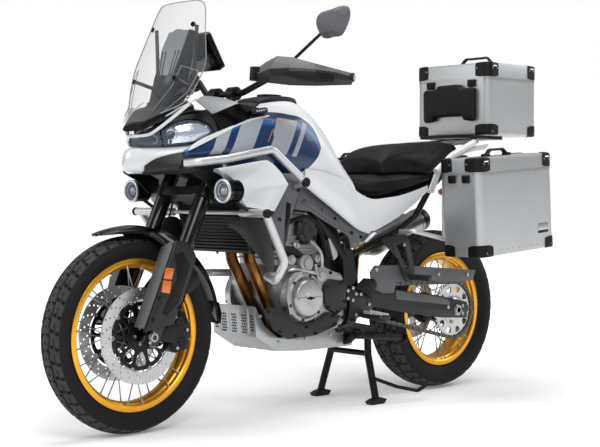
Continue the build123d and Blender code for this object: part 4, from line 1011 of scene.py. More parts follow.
class MOTORCYCLE_OT_wheels(Operator):
    """Both wheels: ridged rims, crossed spokes with nipples, hubs"""
    bl_idname = "motorcycle.wheels"
    bl_label = "Wheels"

    def execute(self, context):
        for name, axle, lip, half, hub, flange in (
            ("front", FRONT_AXLE, FRONT_LIP_RADIUS, FRONT_RIM_HALF, 44, 33),
            ("rear", REAR_AXLE, REAR_LIP_RADIUS, REAR_RIM_HALF, 62, 48),
        ):
            body = name + "_wheel"
            rim = ridged_rim(name + "_rim", axle, lip, half)
            finish(rim, body, "gold", [body])
            spokes, nipples = laced_spokes(name + "_spokes", axle, lip, half, hub, flange, 16)
            finish(spokes, body, "spoke")
            finish(nipples, body, "machined")
            finish(wheel_hub(name + "_hub", axle, hub, flange, 11.6), body, "black", smooth=40)
        # the discs' carriers on the front hub, with windows, and the bobbins that hold the discs
        carriers = []
        bobbins = []
        for side in (-1, 1):
            windows = rounded_windows(
                10, 0.5, ((98, 0.21), (98, -0.21), (58, -0.19), (58, 0.19)))
            carriers.append(stamped(
                "disc_carriers", FRONT_AXLE, side * 62,
                [circle(113, 96), circle(14, 24), *windows], 5))
            carriers.append(turned(
                "disc_carriers", FRONT_AXLE, LEFT * side,
                [(40, 12), (40, 40), (58, 42), (64, 42), (66, 36), (66, 12)], segments=48,
            ))
            bobbins += [
                (spot, LEFT * side) for spot in places_round(FRONT_AXLE, side * 60, 114, 10)]
        finish(joined("disc_carriers", carriers), "front_wheel", "black")
        finish(bolts("disc_bobbins", bobbins, 7.5, 5, sides=16), "front_wheel", "machined")
        caps = []
        for side in (-1, 1):
            caps += [
                (spot, LEFT * side) for spot in places_round(FRONT_AXLE, side * 66, 27, 5,
                turn=0.5)]
        finish(bolts("carrier_bolts", caps, 5.5, 5), "front_wheel", "steel")
        drum = turned("rear_hub_drum", REAR_AXLE, LEFT, [
            (-104, 12), (-104, 44), (-60, 46), (-50, 52), (50, 56), (96, 56), (106, 50), (106, 12),
        ], segments=64)
        finish(drum, "rear_wheel", "black", smooth=40)
        return {"FINISHED"}


class MOTORCYCLE_OT_brake_discs(Operator):
    """Drilled front and rear discs, and the rear sprocket with its slots"""
    bl_idname = "motorcycle.brake_discs"
    bl_label = "Brake discs"

    def execute(self, context):
        pair = [
            drilled_disc("front_brake_discs", FRONT_AXLE, side * 62, 160, 117, 4.6, 22)
            for side in (-1, 1)
        ]
        finish(joined("front_brake_discs", pair), "front_wheel", "steel", ["front_discs"])
        loops = [circle(130, 120), circle(44.3, 48)]
        loops += [circle(19, 24, centre=spot) for spot in circle(73, 6)]
        for row, radius in enumerate((106, 114, 122)):
            loops += [circle(2.9, 8, centre=spot) for spot in circle(radius, 36, turn=0.3 * row)]
        rear = stamped("rear_brake_disc", REAR_AXLE, -104, loops, 4.8)
        finish(rear, "rear_wheel", "steel", ["rear_disc"])
        pitch_radius = CHAIN_PITCH / 2 / sin(pi / REAR_TEETH)
        edge = []
        for tooth in range(REAR_TEETH):
            # half a roller's seat, a flank, the tip, the other flank and the seat's other half
            for offset, rise in ((0.0, -5.0), (0.17, -4.2), (0.33, 0.6), (0.45, 4.2), (0.55, 4.2),
                                 (0.67, 0.6), (0.83, -4.2)):
                angle = 2 * pi * (tooth + offset) / REAR_TEETH + pi / 2
                radius = pitch_radius + rise
                edge.append((radius * cos(angle), radius * sin(angle)))
        slots = rounded_windows(10, 0, ((94, 0.14), (94, -0.14), (74, -0.10), (74, 0.10)))
        sprocket = stamped(
            "rear_sprocket_ring", REAR_AXLE, 112, [edge, circle(58, 64), *slots], 7)
        centre = turned("rear_sprocket_ring", REAR_AXLE, LEFT, [
            (107, 20), (107, 60), (117, 60), (119, 56), (119, 48), (122, 44), (122, 20),
        ], segments=48)
        finish(joined("rear_sprocket_ring", [sprocket, centre]), "rear_wheel", "steel",
               ["rear_sprocket"])
        nuts = [(spot, LEFT) for spot in places_round(REAR_AXLE, 118, 51, 5, turn=0.5)]
        finish(bolts("sprocket_nuts", nuts, 7, 8, sides=6), "rear_wheel", "steel")
        return {"FINISHED"}


class MOTORCYCLE_OT_fork_fittings(Operator):
    """Fork guards with reflectors, fender, calipers, caps, axle clamps and brake lines"""
    bl_idname = "motorcycle.fork_fittings"
    bl_label = "Fork fittings"

    def execute(self, context):
        # fender: arched sections round the wheel, from its tip to its rear flap
        rows = []
        for angle, crown, half_width, drop in (
            (-23, 362, 10, 2), (-20, 362, 34, 8), (-9, 361, 62, 20), (6, 362, 76, 32),
            (26, 361, 78, 50), (48, 357, 74, 39), (68, 356, 68, 30), (86, 356, 60, 24),
        ):
            away = Vector((0, sin(radians(angle)), cos(radians(angle))))
            row = []
            for share, sink in (
                (-1, drop), (-0.86, drop * 0.42), (-0.55, 4.5), (-0.2, 0.6), (0.2, 0.6),
                (0.55, 4.5), (0.86, drop * 0.42), (1, drop),
            ):
                row.append(
                    FRONT_AXLE + away * (crown - sink) * MM + LEFT * half_width * share * MM
                )
            rows.append(row)
        fender = flowing_skin("front_fender_shell", rows, along=6, across=4)
        walled(fender, 3.5)
        finish(fender, "steering", "gloss_black", ["front_fender"])
        flap = flowing_skin("fender_flap", [
            [at(left, 336 + abs(left) * 0.05, 420), at(left, 350, 380), at(left * 0.9, 352, 345)]
            for left in (-56, -30, 0, 30, 56)
        ], along=3, across=3)
        walled(flap, 3)
        finish(flap, "steering", "black_plastic")
        stays = []
        for side in (1, -1):
            stays.append(plate("fender_stays", [
                (92, 444), (112, 436), (206, 470), (232, 492), (220, 530), (196, 552)],
                side * 84, side * 88, round_edge=2, segments=3))
            stays.append(turned(
                "fender_stays", at(side * 66, 146, 605), LEFT * side,
                [(0, 10), (2, 10), (17.2, 8), (17.2, 0.1)], segments=20))
        finish(joined("fender_stays", stays), "steering", "black")
        # guards: a shallow shell, an edge that wraps round the leg in a lighter grey as painted
        # light, and a black plate as painted shade in the recess
        guards, lit_edges, shaded_recesses = [], [], []
        for side in (1, -1):
            outer = [
                (84, 642), (66, 600), (10, 470), (-41, 360), (-28, 352), (74, 366), (104, 430),
                (158, 548), (168, 596), (128, 640),
            ]
            edge = flowing_line([at(side * 136, d, h) for d, h in outer], 4, corners=(0, 3, 5, 9),
                closed=True)
            middle = sum(edge, Vector()) / len(edge)
            rows = []
            for place, shrink in ((128, 1.0), (138, 1.0), (142, 0.985), (144, 0.94), (146, 0.82),
                                  (147, 0.4)):
                rows.append([
                    Vector((side * place * MM, middle.y + (p.y - middle.y) * shrink,
                            middle.z + (p.z - middle.z) * shrink)) for p in edge
                ])
            guards.append(skin("fork_guard_shells", rows))
            wrap = flowing_skin("fork_guard_shells", [
                on_side(side, (134, 84, 641), (118, 72, 645), (92, 77, 645)),
                on_side(side, (134, 66, 601), (118, 53, 606), (92, 58, 606)),
                on_side(side, (134, 10, 471), (118, -3, 476), (92, 2, 476)),
                on_side(side, (134, -41, 361), (118, -53, 364), (92, -48, 364)),
            ], along=6, across=5)
            lit_edges.append(walled(wrap, 4))
            # a black plate where the recess lies in shade: painted shade
            shaded_recesses.append(plate("fork_guard_shaded_recesses", [
                (76, 596), (110, 606), (140, 560), (92, 440), (40, 396), (24, 410), (84, 520)],
                side * 144, side * 148, round_edge=2, segments=2))
        finish(joined("fork_guard_shells", guards), "steering", "grey_plastic", ["fork_guards"])
        # the wrap in lighter grey: painted light where it faces the lamps
        finish(joined("fork_guard_lit_edges", lit_edges), "steering", "mid_grey")
        shoulders = []
        for side in (1, -1):
            shoulder = flowing_skin("fender_shoulders", [
                on_side(side, (70, 20, 668), (76, 36, 654), (77, 60, 634)),
                on_side(side, (96, 50, 668), (104, 54, 650), (108, 62, 622)),
                on_side(side, (126, 90, 654), (132, 80, 638), (134, 68, 604)),
            ], along=5, across=5)
            shoulders.append(walled(shoulder, 3.5))
        finish(joined("fender_shoulders", shoulders), "steering", "gloss_black")
        # black plates in the recesses: painted shade
        finish(joined("fork_guard_shaded_recesses", shaded_recesses), "steering", "black_plastic")
        reflectors = []
        screws = []
        for side in (1, -1):
            for outline in (
                [(28, 519), (61, 515), (71, 551), (39, 556)],
                [(19, 476), (53, 470), (60, 511), (27, 515)],
            ):
                reflectors.append(plate("fork_reflectors", outline, side * 145, side * 151,
                    round_edge=2, segments=3))
            for d, h in ((12, 459), (-13, 388), (98, 420)):
                screws.append((at(side * 145, d, h), LEFT * side))
        finish(joined("fork_reflectors", reflectors), "steering", "orange")
        finish(bolts("fork_guard_screws", screws, 7, 4), "steering", "black")
        calipers = rounded_copy("front_caliper_bodies", "front_calipers", 3.0)
        finish(calipers, "steering", "black", ["front_calipers"])
        fittings = []
        pads = []
        for side in (1, -1):
            for d, h in ((135, 372), (148, 300)):
                pads.append(turned(
                    "caliper_caps", at(side * 95, d, h), LEFT * side,
                    [(0, 17), (3, 17), (5, 15), (5, 6), (3.6, 5)], segments=28))
            for d, h in ((116, 386), (166, 340), (124, 282)):
                fittings.append((at(side * 96, d, h), LEFT * side))
        finish(joined("caliper_caps", pads), "steering", "black")
        finish(bolts("caliper_bolts", fittings, 5.5, 5), "steering", "steel")
        # axle nut, pinch bolts, caps on the yokes
        ends = []
        pinch = []
        caps = []
        for side in (1, -1):
            ends.append(turned("front_axle_ends", FRONT_AXLE + LEFT * side * 0.134, LEFT * side, [
                (-8, 16), (0, 16), (4, 14), (4, 9), (0, 8)], segments=24))
            for up in (6, 40):
                pinch.append((steering_at(side * 125, -32 - 12, up - 26), LEFT * side))
            caps.append(turned(
                "fork_caps", steering_at(side * 105, -26, 838), STEERING_AXIS,
                [(-2, 26), (3, 26), (5, 23), (5, 15), (11, 14), (11, 6), (8, 5)], segments=32))
        finish(joined("front_axle_ends", ends), "steering", "machined")
        finish(bolts("pinch_bolts", pinch, 5, 4), "steering", "steel")
        finish(joined("fork_caps", caps), "steering", "machined")
        lines = []
        for side in (1, -1):
            lines.append(tube("brake_lines", [
                steering_at(side * 66, -16, 500), steering_at(side * 72, 10, 420),
                at(side * 84, 160, 640), at(side * 86, 178, 520), at(side * 84, 166, 430),
                at(side * 74, 140, 398),
            ], 7, flowing=True))
        finish(joined("brake_lines", lines), "steering", "black_plastic")
        return {"FINISHED"}


def lerp(low, high, share):
    """Value a share of the way from low to high"""
    return low + (high - low) * share


class MOTORCYCLE_OT_tank(Operator):
    """Fuel tank, its side wings and the filler cover on top"""
    bl_idname = "motorcycle.tank"
    bl_label = "Tank"

    def execute(self, context):
        body = closed_body("fuel_tank_shell", [
            (474, [(112, 904), (178, 910), (184, 950), (166, 1044), (116, 1090), (60, 1100),
                   (0, 1103)]),
            (570, [(112, 860), (180, 884), (187, 950), (168, 1050), (118, 1102), (66, 1126),
                   (0, 1130)]),
            (690, [(120, 806), (170, 852), (181, 930), (160, 1038), (114, 1094), (62, 1126),
                   (0, 1134)]),
            (790, [(124, 800), (158, 817), (166, 900), (140, 984), (96, 1038), (50, 1058),
                   (0, 1064)]),
            (868, [(124, 790), (150, 800), (155, 850), (130, 904), (86, 948), (40, 962), (0, 965)]),
            (926, [(122, 790), (144, 796), (147, 812), (122, 851), (80, 876), (30, 883), (0, 885)]),
        ], along=8, across=6, corners=(1,))
        finish(body, "chassis", "tank", ["fuel_tank"])
        wings = side_panels("tank_wing_panels", [
            (112, [(146, 918), (155, 928), (148, 938)]),
            (180, [(160, 914), (172, 936), (158, 964)]),
            (246, [(168, 910), (183, 950), (168, 992)]),
            (300, [(174, 900), (189, 948), (172, 1015)]),
            (380, [(180, 884), (195, 946), (176, 1043)]),
            (473, [(184, 882), (197, 946), (178, 1060)]),
        ], 5, along=6, across=6)
        finish(wings, "chassis", "tank", ["tank_wings"])
        cover = []
        for behind, half, low, high in (
            (500, 40, 1098, 1112), (520, 66, 1100, 1130), (560, 76, 1104, 1142),
            (640, 74, 1106, 1148), (700, 62, 1106, 1145), (724, 40, 1106, 1136),
        ):
            cover.append((behind, [(half, low), (half + 2, (low + high) / 2), (half - 8, high - 3),
                                   (half * 0.5, high), (0, high + 2)]))
        top = closed_body("filler_cover", cover, along=6, across=4)
        finish(top, "chassis", "black_plastic")
        cap = turned("filler_cap", at(0, 628, 1146), Vector((0, 0.04, 1)), [
            (0, 46), (5, 46), (7, 44), (7, 38), (8, 36), (8, 12), (10, 11), (10, 5)], segments=56)
        finish(cap, "chassis", "black")
        ring = [(at(left, 628 + back, 1152), UP) for left, back in circle(39, 6, turn=BOLT_TURN)]
        finish(bolts("filler_cap_bolts", ring, 3.2, 2.5), "chassis", "steel")
        wedge = closed_body("tank_front_wedge", [
            (446, [(96, 1072), (108, 1078), (94, 1088), (50, 1094), (0, 1096)]),
            (488, [(82, 1090), (94, 1096), (76, 1106), (40, 1111), (0, 1113)]),
            (532, [(56, 1104), (64, 1110), (54, 1124), (28, 1130), (0, 1132)]),
        ], along=5, across=4)
        finish(wedge, "chassis", "gloss_black")
        return {"FINISHED"}


class MOTORCYCLE_OT_flanks(Operator):
    """White flanks below the tank, their lower edge a little greyer as painted shade, and the
    panels beside the tail
    """
    bl_idname = "motorcycle.flanks"
    bl_label = "Flanks"

    def execute(self, context):
        flank = side_panels("side_flanks", [
            (628, [(182, 838), (187, 862), (188, 884)]),
            (700, [(180, 796), (186, 836), (186, 876)]),
            (780, [(175, 752), (182, 800), (178, 862)]),
            (860, [(171, 706), (177, 764), (170, 838)]),
            (927, [(166, 672), (171, 730), (160, 800)]),
            (1000, [(162, 656), (167, 712), (160, 776)]),
            (1080, [(160, 680), (165, 726), (160, 780)]),
            (1160, [(157, 712), (162, 746), (160, 789)]),
            (1250, [(153, 758), (157, 780), (156, 808)]),
            (1330, [(148, 806), (151, 818), (150, 828)]),
        ], 4, along=5, across=8)
        finish(flank, "chassis", "white", ["side_panels"])
        # the flank's lower edge in pearl paint, a little darker than the white: painted shade where
        # the edge faces down
        trim = side_panels("flank_shaded_lower_edge", [
            (628, [(176, 831), (181, 836), (183, 842)]),
            (700, [(174, 788), (180, 793), (182, 800)]),
            (780, [(169, 744), (175, 749), (177, 756)]),
            (860, [(165, 698), (170, 703), (172, 710)]),
            (927, [(160, 663), (166, 668), (168, 675)]),
            (990, [(156, 646), (162, 651), (163, 658)]),
        ], 4, along=5, across=4)
        finish(trim, "chassis", "pearl")
        tail = []
        for side in (1, -1):
            outline = [(1338, 798), (1374, 798), (1424, 890), (1500, 938), (1590, 962), (1700, 978),
                       (1722, 1000), (1600, 988), (1500, 960), (1400, 908)]
            tail.append(plate("tail_panels", outline, side * 139, side * 146, round_edge=2.5,
                segments=3))
        finish(joined("tail_panels", tail), "chassis", "white")
        return {"FINISHED"}


class MOTORCYCLE_OT_side_covers(Operator):
    """Dark covers below the flanks, radiator cowls and the covers low on the nose"""
    bl_idname = "motorcycle.side_covers"
    bl_label = "Side covers"

    def execute(self, context):
        parts, shields, slots = [], [], []
        for side in (1, -1):
            parts.append(plate("inner_side_covers", [
                (596, 820), (624, 832), (732, 783), (984, 645), (938, 612), (850, 656), (751, 701),
                (692, 731), (611, 740), (628, 790)], side * 145, side * 152, round_edge=3,
                segments=3))
            shields.append(plate("radiator_side_shields", [
                (546, 835), (584, 840), (572, 815), (605, 797), (584, 743), (560, 700), (548, 636),
                (528, 570), (476, 682), (462, 696), (540, 815)], side * 168, side * 180,
                round_edge=4, segments=3))
            # black plates where the shields' slots open: painted shade
            slots.append(plate("shield_shaded_slots", [
                (545, 768), (566, 760), (560, 700), (548, 636), (534, 608), (538, 690)],
                side * 180, side * 181.5, round_edge=2, segments=2))
            parts.append(plate("inner_side_covers", [
                (640, 764), (700, 740), (752, 712), (846, 668), (880, 650), (858, 672), (760, 730),
                (700, 762), (660, 776)], side * 150, side * 156, round_edge=2, segments=2))
        finish(joined("inner_side_covers", parts), "chassis", "mid_grey", ["side_covers"])
        finish(joined("radiator_side_shields", shields), "chassis", "mid_grey")
        finish(joined("shield_shaded_slots", slots), "chassis", "gloss_black")
        screws = []
        for side in (1, -1):
            for d, h in ((628, 808), (660, 768), (742, 736), (812, 704), (900, 650), (950, 634)):
                screws.append((at(side * 152, d, h), LEFT * side))
            screws.append((at(side * 180, 512, 706), LEFT * side))
        finish(bolts("side_cover_screws", screws, 6.5, 4), "chassis", "black")
        cowl = side_panels("radiator_cowls", [
            (256, [(206, 688), (208, 694), (206, 702)]),
            (300, [(214, 660), (219, 684), (215, 706)]),
            (360, [(222, 600), (231, 654), (225, 714)]),
            (400, [(224, 554), (234, 620), (228, 696)]),
            (436, [(216, 528), (228, 590), (222, 634)]),
            (452, [(210, 530), (218, 552), (214, 566)]),
        ], 4, along=6, across=6)
        finish(cowl, "chassis", "grey_plastic")
        nose = side_panels("nose_lower_covers", [
            (20, [(40, 861), (54, 868), (58, 888)]),
            (44, [(64, 860), (86, 874), (84, 910)]),
            (80, [(98, 862), (124, 882), (112, 924)]),
            (120, [(126, 864), (152, 888), (138, 933)]),
            (180, [(150, 868), (172, 900), (158, 941)]),
            (244, [(166, 880), (180, 914), (172, 944)]),
        ], 5, along=6, across=6)
        finish(nose, "chassis", "grey_plastic")
        nose_screws = []
        for side in (1, -1):
            for left, d, h in ((144, 104, 882), (172, 206, 896)):
                nose_screws.append((at(side * left, d, h), Vector((side, -0.3, 0))))
        finish(bolts("nose_cover_screws", nose_screws, 6, 5), "chassis", "black")
        return {"FINISHED"}


class MOTORCYCLE_OT_front_cowl(Operator):
    """White nose, lamp glass, trim band and windscreen"""
    bl_idname = "motorcycle.front_cowl"
    bl_label = "Nose and screen"

    def execute(self, context):
        nose = closed_body("nose_cowl", [
            (-14, [(3, 890), (7, 893), (8, 903), (5, 912), (0, 915)]),
            (-4, [(14, 870), (28, 879), (33, 903), (22, 930), (0, 939)]),
            (15, [(30, 863), (44, 874), (52, 906), (42, 939), (0, 948)]),
            (41, [(50, 864), (70, 880), (78, 912), (61, 943), (0, 951)]),
            (100, [(88, 876), (116, 894), (124, 924), (104, 948), (0, 957)]),
            (170, [(118, 888), (146, 904), (154, 930), (140, 956), (0, 966)]),
        ], along=6, across=6)
        finish(nose, "chassis", "white", ["front_cowl"])
        shell = closed_body("headlight_shell", [
            (24, [(20, 951), (34, 956), (36, 970), (26, 984), (0, 986)]),
            (84, [(66, 954), (88, 962), (92, 984), (76, 1004), (0, 1010)]),
            (160, [(104, 962), (134, 976), (140, 1006), (120, 1036), (0, 1044)]),
        ], along=6, across=6)
        finish(shell, "chassis", "gloss_black", ["headlight"])
        # two panes on each side: the main lamp's, and one that sweeps up round the corner
        lens = []
        for side in (1, -1):
            for rows in (
                [
                    on_side(side, (5, 12, 951), (5, 4, 967), (5, 15, 983)),
                    on_side(side, (50, 40, 951), (54, 30, 968), (50, 36, 986)),
                    on_side(side, (88, 68, 953), (92, 62, 976), (86, 60, 1000)),
                ],
                [
                    on_side(side, (92, 72, 953), (96, 66, 976), (90, 64, 1002)),
                    on_side(side, (126, 110, 958), (132, 106, 992), (126, 110, 1034)),
                    on_side(side, (146, 160, 968), (150, 164, 1002), (146, 168, 1038)),
                    on_side(side, (152, 226, 996), (154, 228, 1006), (152, 214, 1024)),
                ],
            ):
                glass = flowing_skin("headlight_lenses", rows, along=5, across=5)
                lens.append(walled(glass, 3))
        finish(joined("headlight_lenses", lens), "chassis", "lens")
        # lamp cells behind the glass, then a row of short light bars beside them
        bowls = []
        for side in (1, -1):
            for left, back, up, size in (
                (26, 32, 968, 13), (62, 56, 974, 15), (104, 100, 994, 21), (134, 148, 1004, 20),
            ):
                facing = Vector((side * left / 150, -1, 0.05))
                bowls.append(turned("headlight_bowls", at(side * left, back, up), facing, [
                    (-8, size * 0.8), (0, size), (3, size), (3, size - 2), (-2, size * 0.75),
                    (-6, size * 0.4), (-6, 0.4)], segments=28))
            for k in range(6):
                bowls.append(tube("headlight_bowls", [
                    at(side * (98 + 7 * k), 90 + 11 * k, 962 + 2 * k),
                    at(side * (100 + 7 * k), 88 + 11 * k, 974 + 3 * k)], 4, bend=2, sides=8))
        finish(joined("headlight_bowls", bowls), "chassis", "reflector")
        liners = []
        for side in (1, -1):
            liner = flowing_skin("headlight_liners", [
                on_side(side, (104, 96, 962), (112, 104, 990), (110, 110, 1018)),
                on_side(side, (140, 162, 972), (143, 168, 1002), (138, 170, 1030)),
                on_side(side, (147, 218, 996), (148, 222, 1006), (146, 212, 1018)),
            ], along=5, across=5)
            liners.append(walled(liner, 2))
        finish(joined("headlight_liners", liners), "chassis", "reflector")
        walls = []
        for side in (1, -1):
            walls.append(tube("headlight_walls", on_side(
                side, (92, 76, 956), (96, 78, 976), (91, 76, 998)), 8, bend=6, sides=8))
            walls.append(tube("headlight_walls", on_side(
                side, (44, 44, 956), (47, 44, 970), (45, 46, 984)), 11, bend=6, sides=8))
        finish(joined("headlight_walls", walls), "chassis", "gloss_black")
        brows = []
        for side in (1, -1):
            brow = flowing_skin("headlight_brows", [
                on_side(side, (54, 36, 990), (92, 64, 1006), (128, 110, 1038), (148, 168, 1042),
                        (155, 216, 1028), (156, 234, 1000)),
                on_side(side, (52, 34, 1003), (94, 68, 1022), (132, 112, 1052), (150, 176, 1060),
                        (160, 232, 1046), (164, 262, 1006)),
            ], along=4, across=5)
            brows.append(walled(brow, 4, offset=-1.0))
        finish(joined("headlight_brows", brows), "chassis", "gloss_black")
        trim = closed_body("screen_trim_band", [
            (14, [(40, 1003), (54, 1010), (46, 1021), (20, 1026), (0, 1027)]),
            (60, [(70, 1022), (90, 1034), (80, 1052), (40, 1056), (0, 1057)]),
            (110, [(98, 1040), (124, 1054), (114, 1082), (60, 1088), (0, 1088)]),
            (170, [(100, 1056), (130, 1070), (124, 1094), (80, 1100), (0, 1100)]),
        ], along=6, across=5)
        finish(trim, "chassis", "gloss_black", ["screen_trim"])
        bars = []
        for side in (1, -1):
            for size, route in (
                (12, [(0, 20, 986), (55, 34, 986), (84, 53, 1006), (143, 97, 1062),
                      (156, 130, 1092)]),
                (5, [(0, 16, 1006), (52, 34, 1008), (80, 54, 1032), (134, 116, 1084),
                     (154, 176, 1114)]),
            ):
                bars.append(tube("screen_trim_bars", [
                    at(side * left, back, up) for left, back, up in route], size, flowing=True))
        finish(joined("screen_trim_bars", bars), "chassis", "pearl")
        # the screen's level rows: arcs of a radius, with their half width
        screen_rows = []
        for height, distance, bend, half in (
            (1034, 9, 200, 58), (1060, 30, 203, 98), (1088, 45, 203, 147), (1118, 60, 240, 166),
            (1150, 74, 280, 180), (1220, 104, 334, 197), (1280, 132, 334, 178),
            (1345, 162, 334, 154), (1410, 190, 334, 136), (1440, 203, 334, 118),
            (1447, 206, 334, 92),
        ):
            row = []
            for k in range(-6, 7):
                across = asin(half / bend) * k / 6
                row.append(at(bend * sin(across), distance + bend - bend * cos(across), height))
            screen_rows.append(row)
        screen = flowing_skin("windscreen_sheet", screen_rows, along=4, across=3)
        walled(screen, 3.5)
        finish(screen, "chassis", "screen", ["windscreen"])
        rim = [row[0] for row in screen_rows[1:]] + screen_rows[-1][1:-1]
        rim += [row[-1] for row in reversed(screen_rows[1:])]
        bead = tube("windscreen_rim", rim, 3.6, flowing=True, sides=6)
        finish(bead, "chassis", "silver_plastic")
        creases = []
        for side in (1, -1):
            creases.append(tube("windscreen_creases", on_side(
                side, (118, 128, 1220), (176, 156, 1200), (158, 122, 1130), (92, 66, 1062)),
                2.6, bend=8, sides=6))
            creases.append(tube("windscreen_creases", on_side(
                side, (118, 128, 1220), (104, 98, 1150), (60, 50, 1068)),
                2.6, bend=8, sides=6))
        finish(joined("windscreen_creases", creases), "chassis", "silver_plastic")
        screws = []
        for side in (1, -1):
            for left, d, h in ((110, 186, 1361), (111, 106, 1177)):
                screws.append((at(side * left, d, h), Vector((side * 0.33, -1, 0.42))))
        finish(bolts("screen_screws", screws, 9, 6, sides=20), "chassis", "gloss_black")
        return {"FINISHED"}


class MOTORCYCLE_OT_dash(Operator):
    """Display, its tower with slots, and the panels either side of the dash"""
    bl_idname = "motorcycle.dash"
    bl_label = "Dash"

    def execute(self, context):
        tower = rounded_copy("instrument_tower_frame", "instrument_tower", 3.0)
        finish(tower, "chassis", "gloss_black", ["instrument_tower"])
        glass = flowing_skin("display_glass", [
            [display_point(left, up, 23.0) for left in (-80, -30, 30, 80)]
            for up in (-58, -10, 20, 60)
        ], along=2, across=2)
        walled(glass, 1.2)
        finish(glass, "chassis", "display")
        front = flowing_skin("tower_front_panel", [
            [at(left * 0.62, 150, 1182) for left in (-56, -20, 20, 56)],
            [at(left * 0.86, 166, 1240) for left in (-56, -20, 20, 56)],
            [at(left, 180, 1284) for left in (-56, -20, 20, 56)],
            [at(left * 0.96, 211, 1349) for left in (-56, -20, 20, 56)],
            [at(left * 0.9, 234, 1355) for left in (-56, -20, 20, 56)],
        ], along=3, across=2, row_corners=(2, 3))
        walled(front, 3)
        finish(front, "chassis", "silver_plastic", smooth=20)
        ribs = []
        for side in (1, -1):
            for k in range(2):
                left = side * (20 + 14 * k)
                ribs.append(tube("tower_ribs", [
                    at(left, 151, 1196), at(left * 1.3, 176, 1280)], 4, bend=4, sides=8))
        finish(joined("tower_ribs", ribs), "chassis", "gloss_black")
        tops = []
        lowers = []
        for side in (1, -1):
            top = flowing_skin("dash_side_panels", [
                on_side(side, (132, 172, 1110), (110, 236, 1124), (96, 330, 1122)),
                on_side(side, (160, 226, 1062), (156, 290, 1084), (148, 352, 1104)),
            ], along=4, across=4)
            tops.append(walled(top, 4))
            lower = flowing_skin("dash_lower_panels", [
                on_side(side, (160, 225, 1059), (156, 290, 1081), (148, 352, 1101),
                        (140, 448, 1092)),
                on_side(side, (168, 252, 1006), (172, 310, 1026), (172, 380, 1052),
                        (164, 462, 1072)),
            ], along=4, across=4)
            lowers.append(walled(lower, 4))
        finish(joined("dash_side_panels", tops), "chassis", "silver_plastic")
        finish(joined("dash_lower_panels", lowers), "chassis", "gloss_black")
        blinkers, cells = [], []
        for side in (1, -1):
            blinkers.append(tube("front_indicators", on_side(
                side, (166, 392, 1074), (174, 408, 1078), (178, 452, 1084)),
                20, bend=10))
            for k in range(5):
                cells.append(turned(
                    "front_indicator_cells",
                    at(side * (187 - abs(k - 2)), 404 + 10 * k, 1078 + 1.6 * k),
                    Vector((side, -0.3, 0)), [(-4, 3.8), (0, 3.8), (2, 2.4), (2, 0.2)],
                    segments=12))
        finish(joined("front_indicators", blinkers), "chassis", "black_plastic")
        finish(joined("front_indicator_cells", cells), "chassis", "reflector")
        strips = []
        for side in (1, -1):
            strips.append(plate("wing_top_strips", [
                (118, 938), (180, 963), (246, 991), (300, 1014), (380, 1042), (470, 1062),
                (470, 1068), (380, 1051), (300, 1025), (246, 1005), (180, 980), (140, 958)],
                side * 158, side * 174, round_edge=2, segments=2))
        finish(joined("wing_top_strips", strips), "chassis", "white")
        return {"FINISHED"}


def display_point(left, up, proud):
    """Point on the display's face, which leans back to look up at the rider"""
    tilt = radians(31)
    along = Vector((0, -sin(tilt), cos(tilt)))
    out = Vector((0, cos(tilt), sin(tilt)))
    return at(left, 292, 1278) + along * up * MM + out * proud * MM


